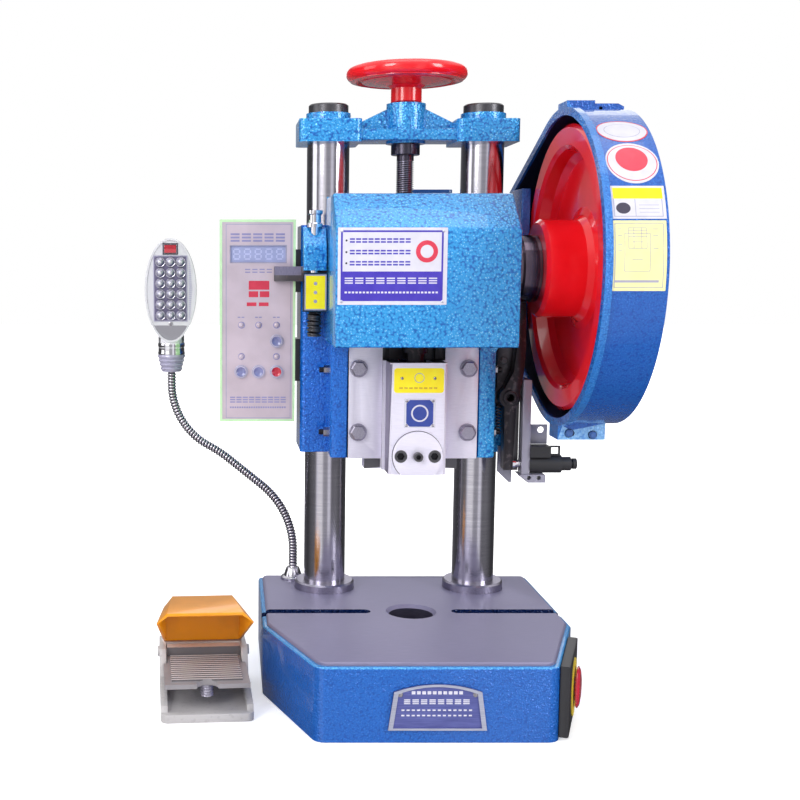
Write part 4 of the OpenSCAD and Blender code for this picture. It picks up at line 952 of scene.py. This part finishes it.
on_guard("guard_chart_rules", long_bars((130.6, 168.4, chart[0] + 2.4, chart[0] + 2.9),
         (130.6, 168.4, chart[1] - 2.9, chart[1] - 2.4), (130.6, 131.1, chart[0] + 2.4, chart[1] - 2.4),
         (167.9, 168.4, chart[0] + 2.4, chart[1] - 2.4), (130.5, 165, chart[0] + 6.5, chart[0] + 8.3),
         (138, 158, chart[0] + 15, chart[0] + 15.4), (138, 138.4, chart[0] + 15, chart[1] - 10),
         (157.6, 158, chart[0] + 15, chart[1] - 10), (138, 158, chart[1] - 10.4, chart[1] - 10),
         (144, 152, chart[0] + 24, chart[0] + 24.4), (144, 152, chart[1] - 17, chart[1] - 16.6),
         *[(141, 155, chart[1] - v, chart[1] - v + 0.4) for v in (6, 8, 13, 22)],
         *[(u, u + 0.4, chart[1] - 22, chart[1] - 6) for u in (141, 145, 151, 155)],
         *[(133, 136, chart[1] - v, chart[1] - v + 0.5) for v in (7, 12, 19, 24)],
         *[(160, 164, chart[1] - v, chart[1] - v + 0.5) for v in (7, 12, 22)]),
         INK_GREY, 0.16, 0.04)

# %% Arched plate on the base
BASE_FACE = facing_front(-144.2)


def arched(share):
    """The plate's outline: sides that lean inwards under an arc, shrunk towards its middle."""
    arc = [math.radians(90 + 20.5 * (2 * k / 16 - 1)) for k in range(17)]
    points = [(-39.5, 0.0), (39.5, 0.0)] + [(100 * math.cos(a), 100 * math.sin(a) - 62) for a in arc]
    return [(u * share, 11 + 18 + (v - 18) * share) for u, v in points]


rim = list(zip(arched(1.0), arched(0.9)))
rim_parts = [[a, c, d, b] for (a, b), (c, d) in zip(rim, rim[1:] + rim[:1])]
name_parts = [plate_mesh([arched(1.0)], BASE_FACE, 0, 1.2), plate_mesh(rim_parts, BASE_FACE, 0, 2.2)]
name_piece = add_piece("nameplate_arched", joined(name_parts, "nameplate"), NAME_PLATE, "nameplate", True)
refinish(name_piece, ALLOY, lambda c, n: c.y < -145.7)
rows = worded(-21, 21, 42.0, 2.6, 10, 0.3) + lines((-1.5, 0, 1.5), -27, 27, 34.6, 0.9, 8, 0.26)
rows += worded(-29, 29, 27.6, 1.2, 14, 0.4) + worded(-29, 29, 23.2, 1.2, 14, 0.4)
plate("nameplate_rows", rows, BASE_FACE, INK_WHITE, "nameplate", 1.2, 0.1)
rivet_head = screw_head(2.1, 0.8, sides=20)
stamped("nameplate_rivets", rivet_head, [(x, -145.4, 40.6) for x in (-30, 30)], SHAFT_STEEL, "nameplate")

# %% [markdown]
# ## Control box
# The switch panel is printed film on the box's front: a thin border, a window with five seven-segment
# digits, five small lamps and four round buttons. The digits are made of plain bars.

# %% Switch panel
PANEL_FACE = facing_front(45.0)
WINDOW_FACE = facing_front(46.5)
def digit_bars(u, v, width, height, stroke):
    """The seven bars of a display's figure eight."""
    left, right, low, middle, high = u, u + width, v, v + height / 2, v + height
    gap, half = 0.35, stroke / 2
    flat = [(left + gap, right - gap, z - half, z + half) for z in (low, middle, high)]
    upright = [(x - half, x + half, z0 + gap + half, z1 - gap - half)
               for x in (left, right) for z0, z1 in ((low, middle), (middle, high))]
    return bars(*flat, *upright)


LAMP_SPOTS = [(-154.8, 324.1), (-138.9, 324.1), (-122.3, 324.1), (-154.8, 295.0), (-122.3, 295.0)]
printed(
    PANEL_FACE, "box_panel",
    ("panel_edge", border((-175, -105), (234, 421), 2.3), EDGE_GREEN, 0, 0.3),
    ("panel_border", border((-169.4, -108.9), (237.2, 417.0), 0.75), INK_GREY, 0, 0.08),
    ("panel_window_rim", border((-165.8, -113.2), (381.2, 397.8), 0.8), INK_GREY, 0, 0.12),
    ("panel_titles", lines((-3.0, 0, 3.0), -165, -113, 404.6, 1.7, 5, 0.2)
     + lines((-2.2, 0, 2.2), -165.4, -112.4, 254.6, 1.2, 9, 0.18)
     + lines((-1.3, 1.3), -151.6, -125, 374.2, 1.0, 4) + worded(-165.6, -112.8, 247.4, 1.6, 24)
     + [b for x in (-154.8, -138.7, -122.1) for b in worded(x - 3.6, x + 3.6, 331.4, 1.0, 2)], INK_SLATE, 0, 0.08),
    ("panel_mark", [outline_of_box((-148.2, -129.2), (349.9, 365.0), 0.8)], INK_RED, 0, 0.08),
    ("panel_mark_bars", bars((-148.2, -129.2, 355.4, 356.8), (-139.4, -138.0, 349.9, 355.4)), PANEL_MAUVE,
     0.08, 0.04),
    ("panel_mark_line", worded(-150.0, -127.6, 343.4, 3.4, 2, 0.2), INK_RED, 0, 0.08),
    ("panel_lamp_rims", [outline_of_oval(u, v, 3.2, 3.2, 28) for u, v in LAMP_SPOTS], INK_SLATE, 0, 0.12),
    ("panel_lamp_wells", [outline_of_oval(u, v, 2.35, 2.35, 28) for u, v in LAMP_SPOTS], PANEL_MAUVE, 0.12, 0.1),
)
printed(
    WINDOW_FACE, "box_panel",
    ("panel_window", [outline_of_box((-164.9, -114.1), (382.1, 396.9), 0.3)], INK_DISPLAY, 0, 0.1),
    ("panel_digits", [b for k in range(5) for b in digit_bars(-162.0 + 9.9 * k, 385.0, 5.4, 9.0, 1.2)],
     DIGIT_PALE, 0.1, 0.06),
)

BUTTONS = {"button_start": (-122.3, 309.3), "button_count": (-155.2, 280.8), "button_reset": (-139.0, 280.8),
           "button_off": (-122.3, 280.8)}
BUTTON_R = 5.5
button_ring = turned([(5.6, 0.2), (5.6, -0.35), (5.9, -0.6), (6.3, -0.45), (6.45, 0.2)], ORIGIN, "Y", 40)
stamped("button_rings", button_ring, [(x, 45.0, z) for x, z in BUTTONS.values()], BUTTON_RIM, "box_panel")
DISH = [(0, 1.2), (0.40, 1.0), (0.62, 0.45), (0.72, -0.05), (0.78, -0.1), (0.80, 0.35), (0.86, 0.4), (0.89, -0.15),
        (0.96, -0.1), (1.0, 0.5), (1.0, 3), (0, 3)]
for name, (x, z) in BUTTONS.items():
    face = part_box(name)[0].y / MM
    mesh = turned([(BUTTON_R * r, along) for r, along in DISH], (x, face, z), segments=48)
    button = add_piece(name + "_dished", mesh, FINISH_OF[name], name, True)
    centre = Vector((x, 0, z))
    refinish(button, BUTTON_RIM, lambda c, n: ((c - centre) * Vector((1, 0, 1))).length > BUTTON_R * 0.82)
    print(name, "face at", round(face, 1))

# %% [markdown]
# ## Lamp
# The lamp stands on a flexible steel neck: a wound strip whose turns show as fine ribs. Geometry Nodes
# sweep a core along a curve and set a ring on every point of it; the tree ends in Realize Instances,
# because instances don't survive the export. The neck runs in bends, each given as a straight run,
# a radius and an angle.

# %% The neck's path
LAMP_FOOT = (-102.0, 114.6, 65.0)
NECK_STEP = 1.5
NECK_BENDS = [(29, 86, 51), (41.7, 132, 10), (2, 70, -61), (12.56, 40, 0)]


def neck_path():
    """Points of the neck, in metres, walked along its bends."""
    x, z, lean = LAMP_FOOT[0], LAMP_FOOT[2], 0.0
    points = [(x, z)]
    for run, radius, angle in NECK_BENDS:
        for length, turn in ((run, 0.0), (math.radians(abs(angle)) * radius, math.radians(angle))):
            count = max(1, round(length / NECK_STEP))
            for k in range(count):
                lean += turn / count / 2
                x -= length / count * math.sin(lean)
                z += length / count * math.cos(lean)
                lean += turn / count / 2
                points.append((x, z))
    return [Vector((x, LAMP_FOOT[1], z)) * MM for x, z in points]


path = neck_path()
print("neck ends at", [round(c * 1000, 1) for c in path[-1]])


# %% The neck as a node tree
HOSE_TREE, start = new_group("wound_hose", Core="Float", Rib="Float", Spacing="Float")
core = step(HOSE_TREE, "CurveToMesh", {
    "Curve": start["Source"], "Profile Curve": circle(HOSE_TREE, start["Core"], 20), "Fill Caps": True,
})
ring = step(HOSE_TREE, "CurveToMesh", {
    "Curve": circle(HOSE_TREE, start["Core"], 20), "Profile Curve": circle(HOSE_TREE, start["Rib"], 6),
})
spots = node_of(HOSE_TREE, "GeometryNodeCurveToPoints", {
    "Curve": start["Source"], "Length": start["Spacing"],
}, mode="LENGTH").outputs
rings = step(HOSE_TREE, "InstanceOnPoints", {
    "Points": spots["Points"], "Rotation": spots["Rotation"], "Instance": ring,
})
whole = node_of(HOSE_TREE, "GeometryNodeJoinGeometry")
for part in (rings, core):
    feed(HOSE_TREE, whole, {0: part})
painted_end(HOSE_TREE, whole.outputs[0], start["Finish"])

curve = bpy.data.curves.new("neck_path", "CURVE")
curve.dimensions = "3D"
spline = curve.splines.new("POLY")
spline.points.add(len(path) - 1)
for point, place in zip(spline.points, path):
    point.co = (*place, 1)
hose_mesh = by_tree(HOSE_TREE, curve, HOSE_STEEL, Core=3.5 * MM, Rib=1.0 * MM, Spacing=3.0 * MM)
shade_by_angle(hose_mesh, 60)
print("neck", len(hose_mesh.polygons), "faces")
foot_mesh = turned([(0, 0), (12, 0), (12, 2.2), (11.2, 3), (9, 3.4), (8.2, 6.5), (6.4, 11.5), (5.6, 12.2), (0, 12.2)],
                   LAMP_FOOT, axis="Z", segments=48)
neck = add_piece("lamp_neck", joined([hose_mesh, foot_mesh], "lamp_neck"), HOSE_STEEL, "lamp_stand", True)
middle_line = KDTree(len(path))
for k, place in enumerate(path):
    middle_line.insert(place / MM, k)
middle_line.balance()
# Painted shade: the neck's faces down between its ribs are coloured dark, for the shade in the grooves.
refinish(neck, HOSE_GROOVE_SHADE, lambda c, n: c.z > 78 and middle_line.find(c)[2] < 3.8)

# %% [markdown]
# ## Small parts on the solids
# Everything below rides with a solid: the screw's thread, the lamp's reflector field, springs, screws,
# washers and rivets.

# %% Lead screw
SCREW_Y, SCREW_LOW, SCREW_HIGH, SCREW_LEAD = 84.3, 330.0, 477.0, 4.0


def thread(low, high, lead, root, crest, starts=2, segments=36):
    """A screw thread about Z, cut off flat at both ends; some edges there stay open, out of sight.

    Each groove is a row of (share of the pitch, radius) points that follow the helix.
    """
    groove = [(0.0, root), (0.22, root), (0.46, crest), (0.78, crest)]
    steps = [((start + share) / starts, r) for start in range(starts) for share, r in groove]
    turns = math.ceil((high - low) / lead) + 1
    made = bmesh.new()
    rows = []
    for k in range(segments + 1):
        share = k / segments
        a = 2 * math.pi * share
        row = []
        for t in range(-1, turns):
            for place, r in steps:
                z = min(max(low + (t + place + share) * lead, low), high)
                row.append(made.verts.new(Vector((r * math.cos(a), r * math.sin(a), z)) * MM))
        rows.append(row)
    for here, there in zip(rows, rows[1:]):
        for j in range(len(here) - 1):
            made.faces.new((here[j], there[j], there[j + 1], here[j + 1]))
    bmesh.ops.remove_doubles(made, verts=made.verts, dist=1e-6)
    bmesh.ops.dissolve_degenerate(made, edges=made.edges, dist=1e-6)
    bmesh.ops.holes_fill(made, edges=[edge for edge in made.edges if edge.is_boundary], sides=0)
    bmesh.ops.recalc_face_normals(made, faces=made.faces)
    mesh = mesh_from(made, "thread")
    mesh.transform(Matrix.Translation(Vector((0, SCREW_Y, 0)) * MM))
    shade_by_angle(mesh, 30)
    return mesh


top_of_screw = turned([
    (0, 476.8), (8.0, 476.8), (8.0, 482.1), (12.9, 482.1), (13.5, 482.7), (13.5, 492), (8.25, 492), (8.25, 529.9),
    (6, 529.9), (6, 554), (0, 554),
], (0, SCREW_Y, 0), "Z", 48)
nut_on_screw = turned([(0, 554.3), (9.4, 554.3), (10.9, 555.4), (10.9, 560.4), (9.4, 561.3), (0, 561.3)],
                      (0, SCREW_Y, 0), "Z", 6)
screw_mesh = joined([thread(SCREW_LOW, SCREW_HIGH, SCREW_LEAD, 6.7, 8.2), top_of_screw, nut_on_screw], "lead_screw")
screw = add_piece("lead_screw_threaded", screw_mesh, SCREW_DARK, "lead_screw", True)
# Painted highlight: the thread's crests get a paler steel than its roots, so that the fine thread shows as bright
# ridges.
refinish(screw, SCREW_CREST_HIGHLIGHT, lambda c, n: c.z < 476.7 and Vector((c.x, c.y - SCREW_Y)).length > 8.0)

# %% Lamp head
LAMP_X, LAMP_FACE_Y = -223.2, 101.6
# Three columns of six domes: the middle of the top row and the steps across and down
DOME_TOP, DOME_ACROSS, DOME_DOWN = 354.7 + 27.4, 9.9, 10.3
head = node["lamp_head"]
refinish(head, COLLAR_VIOLET, lambda c, n: c.z < 291.6)
refinish(head, CHROME, lambda c, n: 303 < c.z < 320.8 and 102 < c.y < 112 and n.y < -0.1)
lens = node["lamp_lens"]
refinish(lens, LAMP_SHELL, lambda c, n: True)
LED_ARC = [(LAMP_X + 17.6, LAMP_X + 17.6 + 0.8 * (4.6 - abs(z - 356) / 9), z - 0.55, z + 0.55)
           for z in range(327, 387, 2)]
printed(
    facing_front(LAMP_FACE_Y), "lamp_lens",
    ("lamp_field", [outline_of_box((LAMP_X - 15.7, LAMP_X + 15.7), (325.4, 387.6), 0.4)], FIELD_DARK, 0, 0.15),
    ("lamp_field_rim", border((LAMP_X - 16.5, LAMP_X + 16.5), (324.6, 388.4), 1.0), COLLAR_VIOLET, 0, 0.5),
    ("lamp_switch_bezel", border((LAMP_X - 7.4, LAMP_X + 7.4), (389.2, 400.2), 1.0), INK_DARK, 0, 0.6),
    ("lamp_strip", bars(*LED_ARC), COLLAR_VIOLET, 0, 0.25),
)
dome_spots = [(LAMP_X + DOME_ACROSS * column, LAMP_FACE_Y, DOME_TOP - DOME_DOWN * row)
              for column in (-1, 0, 1) for row in range(6)]
ring_stamp = turned([(2.9, 0.3), (3.4, -0.9), (4.1, -2.2), (4.6, -2.3), (4.95, -1.6), (4.95, 0.3)], ORIGIN, "Y", 28)
cups = stamped("lamp_cups", ring_stamp, dome_spots, LAMP_SILVER, "lamp_lens", 60)


def from_dome(c):
    """Across and up from the nearest dome's middle."""
    column = min(1, max(-1, round((c.x - LAMP_X) / DOME_ACROSS)))
    row = min(5, max(0, round((DOME_TOP - c.z) / DOME_DOWN)))
    return Vector((c.x - LAMP_X - DOME_ACROSS * column, c.z - DOME_TOP + DOME_DOWN * row))


def on_dome(low, high):
    """Picks the faces of the domes between two radii."""
    return lambda c, n: c.y < LAMP_FACE_Y - 0.15 and low < from_dome(c).length <= high


# Painted light on the domes: the pale silver spot in each dome's middle is a painted highlight. The grey ring at its
# edge and the dark crescent at its lower right are painted shade.
refinish(lens, LENS_CLEAR, on_dome(0, 5))
refinish(lens, LAMP_SILVER, on_dome(0, 1.3))
refinish(lens, CUP_SHADE_GREY, on_dome(3.5, 5))
refinish(lens, BEAD_SHADE, lambda c, n: on_dome(2.4, 5)(c, n) and from_dome(c).x - from_dome(c).y > 2.4)
# Painted shade: the cups' walls are painted grey, darker still on their left and upper faces.
refinish(cups, CUP_SHADE_GREY, lambda c, n: n.y > -0.75)
refinish(cups, BEAD_SHADE, lambda c, n: n.y > -0.75 and (n.x < -0.1 or n.z > 0.5))
stamped("lamp_screw", screw_head(2.0, 0.9, sides=16), [(LAMP_X, LAMP_FACE_Y, 322.3)], SHAFT_STEEL, "lamp_lens")
bands = [(0, 291.8), (13.2, 291.8), (13.4, 293.2), (13.0, 294.2), (12.9, 299.0), (13.3, 300.0), (13.3, 302.4),
         (12.6, 303.4), (0, 303.4)]
add_piece("lamp_neck_bands", turned(bands, (LAMP_X, 114.6, 0), "Z", 48), CHROME, "lamp_head")

# %% Brake
BRAKE = (-88.5, 31.0)
bolt = node["brake_bolt"]
refinish(bolt, BLACK_OXIDE, lambda c, n: c.z < 373)
refinish(bolt, STEEL_BLUE, lambda c, n: 337 < c.z < 373 and c.y < 18.2)
coil("brake_spring", 6.2, 5.5, 21.0, 1.15, (*BRAKE, 315.6), BLACK_OXIDE, "brake_bolt")
arm = soft["brake_arm"]
refinish(arm, ARM_LILAC, lambda c, n: n.z > 0.5)
refinish(arm, BLACK_OXIDE, lambda c, n: n.z <= 0.5 and c.x < -99)
plate("brake_arm_top", bars((-124.8, -100.2, 370.2, 378.0)), facing_front(38.0), ARM_LILAC, "brake_arm", 0, 0.2)

# %% Screws, washers and rivets
SHANK_R = 4


def bolt_mesh(radius, height, washer, shank):
    """A hexagon head on a washer, with its shank behind the face."""
    rim = [(0, -1.3), (washer * 0.97, -1.3), (washer, -1.0), (washer, 0), (0, 0)]
    stem = [(0, 0), (SHANK_R, 0), (SHANK_R, shank), (0, shank)]
    return joined([screw_head(radius, height), turned(rim, ORIGIN, "Y", 32), turned(stem, ORIGIN, "Y", 24)], "bolt")


gib_spots = [(side * 49.5, 9.5, z) for side in (-1, 1) for z in (229, 287)]
gib_heads = stamped("gib_bolts", bolt_mesh(7.4, 5.5, 8.0, 20), gib_spots, BOLT_STEEL, "gib_screws")
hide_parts("gib_screws")
side_screw = node["side_screws"]
refinish(side_screw, BLACK_OXIDE, lambda c, n: abs(c.x) > 79.6 or abs(c.x) < 74.4)
refinish(side_screw, SHAFT_STEEL, lambda c, n: 74.4 <= abs(c.x) <= 79.6)
rivet = turned([(0, -0.7), (0.8, -0.6), (1.3, -0.25), (1.45, 0.1), (0, 0.1)], ORIGIN, "Y", 16)


def arc_band(u, v, low, high, start, end, count):
    """A thin arc as a row of small outlines."""
    edge = [math.radians(start + (end - start) * k / count) for k in range(count + 1)]
    return [[(u + r * math.cos(a), v + r * math.sin(a)) for r, a in ((high, a1), (low, a1), (low, a0), (high, a0))]
            for a0, a1 in zip(edge, edge[1:])]


plate("clamp_joint", arc_band(0, 212, 21.4, 22.6, -47, 227, 72), RAM_FACE, BLACK_OXIDE, "ram", 0, 0.12)
stamped("hood_rivets", rivet, [(x, -61.5, z) for x in (-72.6, 12.0) for z in (349.6, 408.2)], ALLOY, "hood")
ram_rivets = [(x, -20.3, z) for x in (-10.2, 13.0) for z in (239.2, 261.0)] + [(-14.6, -20.3, 281), (14.2, -20.3, 281)]
stamped("ram_rivets", rivet, ram_rivets, SHAFT_STEEL, "ram")
lug_nut = bolt_mesh(2.7, 2.0, 3.4, 1.2)
stamped("guard_lug_bolts", lug_nut, [(135, -14, 231.6), (156, -14, 230)], MOTOR_BLUE, "guard")
carrier_bolts = [(86.5, 34, 292), (96.5, 34, 308)]
stamped("trip_bolts", bolt_mesh(3.4, 2.6, 4.0, 2), carrier_bolts, BLACK_OXIDE, "trip_carrier")
coil("trip_return_spring", 9, 2.2, 26, 0.55, (82.0, 30.0, 226), FORGED_GREY, "trip_carrier")
# Partly painted shade: a dark block fills the gap behind the trip lever, for the dark parts and the shade there.
add_piece("trip_back", block((93.5, 101.9), (33.4, 39), (190, 268)), TRIP_DARK_SHADED, "trip_bracket")
coil("plunger_spring", 2, 3.2, 1.7, 0.5, (98.6, 25, 197.6), CHROME, "plunger", turn=(0, 90, 0))

# %% Second finishes
TABLE_Z, LIP_Z, SLOT_FLOOR_Z = 62.3, 57, 50.5
SLOT_HALF, SLOT_START, DROP_R = 6.2, 36, 20.5


def in_slot(c, n):
    """Walls and floor of the clamping slots, without the flat top beside them."""
    return abs(c.y) < SLOT_HALF and abs(c.x) > SLOT_START and c.z > SLOT_FLOOR_Z and (c.z < 64.2 or n.z < 0.6)


def in_drop_hole(c, n):
    return Vector((c.x, c.y)).length < DROP_R and n.z < 0.5


base = soft["base_casting"]
refinish(base, TABLE_IRON, lambda c, n: c.z > TABLE_Z and not in_slot(c, n))
# Painted shade: the slots' walls and floor get the near-black blue, their blue paint darkened for the shade in them.
refinish(base, SLOT_SHADE_BLUE, in_slot)
refinish(base, BORE_SHADE, in_drop_hole)
# Painted light: the paler hammer paint on the head's right-hand and upward faces stands for the light falling there.
refinish(soft["head_casting"], HAMMER_BLUE, lambda c, n: c.x > 62 or n.z > 0.9)
refinish(node["guard"], LUG_BLUE, lambda c, n: c.z < 236.4 and abs(c.y) < 14.5)
# Painted highlight on the treadle's rib tops and painted shade on the ribs' front walls.
refinish(node["pedal_treadle"], RIB_TOP_HIGHLIGHT, lambda c, n: c.z > 32.6)
refinish(node["pedal_treadle"], GROOVE_SHADE, lambda c, n: c.z > 32.3 and n.y < -0.7)
# Painted highlight: the upward faces of the base's top edge get a paler blue, where the rounded lip catches light.
refinish(base, LIP_HIGHLIGHT_BLUE, lambda c, n: LIP_Z < c.z < TABLE_Z and n.z > 0.25 and not in_slot(c, n))
# Painted shade: the ram's top and its faces inside the head get black oxide, for the shade in the cavity above and
# behind it.
refinish(node["ram"], BLACK_OXIDE, lambda c, n: c.z > 294.2 or (c.y > 9.4 and n.y < -0.5 and c.z > 200))
refinish(node["ram"], ARM_LILAC, lambda c, n: c.z < 294.2 and -19.5 < c.y < 9.4 and c.x < -24 and n.y > -0.9)
for gib in (soft["gib_left"], soft["gib_right"]):
    refinish(gib, ARM_LILAC, lambda c, n: abs(n.x) > 0.7)
    refinish(gib, BLACK_OXIDE, lambda c, n: abs(c.x) < 29.2 and c.y > 10.2)
    refinish(gib, BLACK_OXIDE, lambda c, n: abs(n.x) > 0.7 and abs(c.x) > 50)
guard = node["guard"]
# Painted highlight: a paler blue on the rim of the guard's front edge, where the rolled edge catches light.
refinish(guard, GUARD_LIP_HIGHLIGHT, lambda c, n: c.x < 129 and Vector((c.y, c.z - CRANK_Z)).length > 136.2)
# Painted shade: the guard's inside faces get the near-black painted shade.
refinish(guard, GUARD_INSIDE_SHADE, lambda c, n: 125 < c.x < 171.5 and (n.x < -0.9 or
         n.dot(Vector((0, c.y, c.z - CRANK_Z)).normalized()) < -0.4))
# Painted shade: the hood's downward faces get the darker orange.
refinish(soft["pedal_hood"], HOOD_UNDERSIDE_SHADE, lambda c, n: n.z < -0.3)
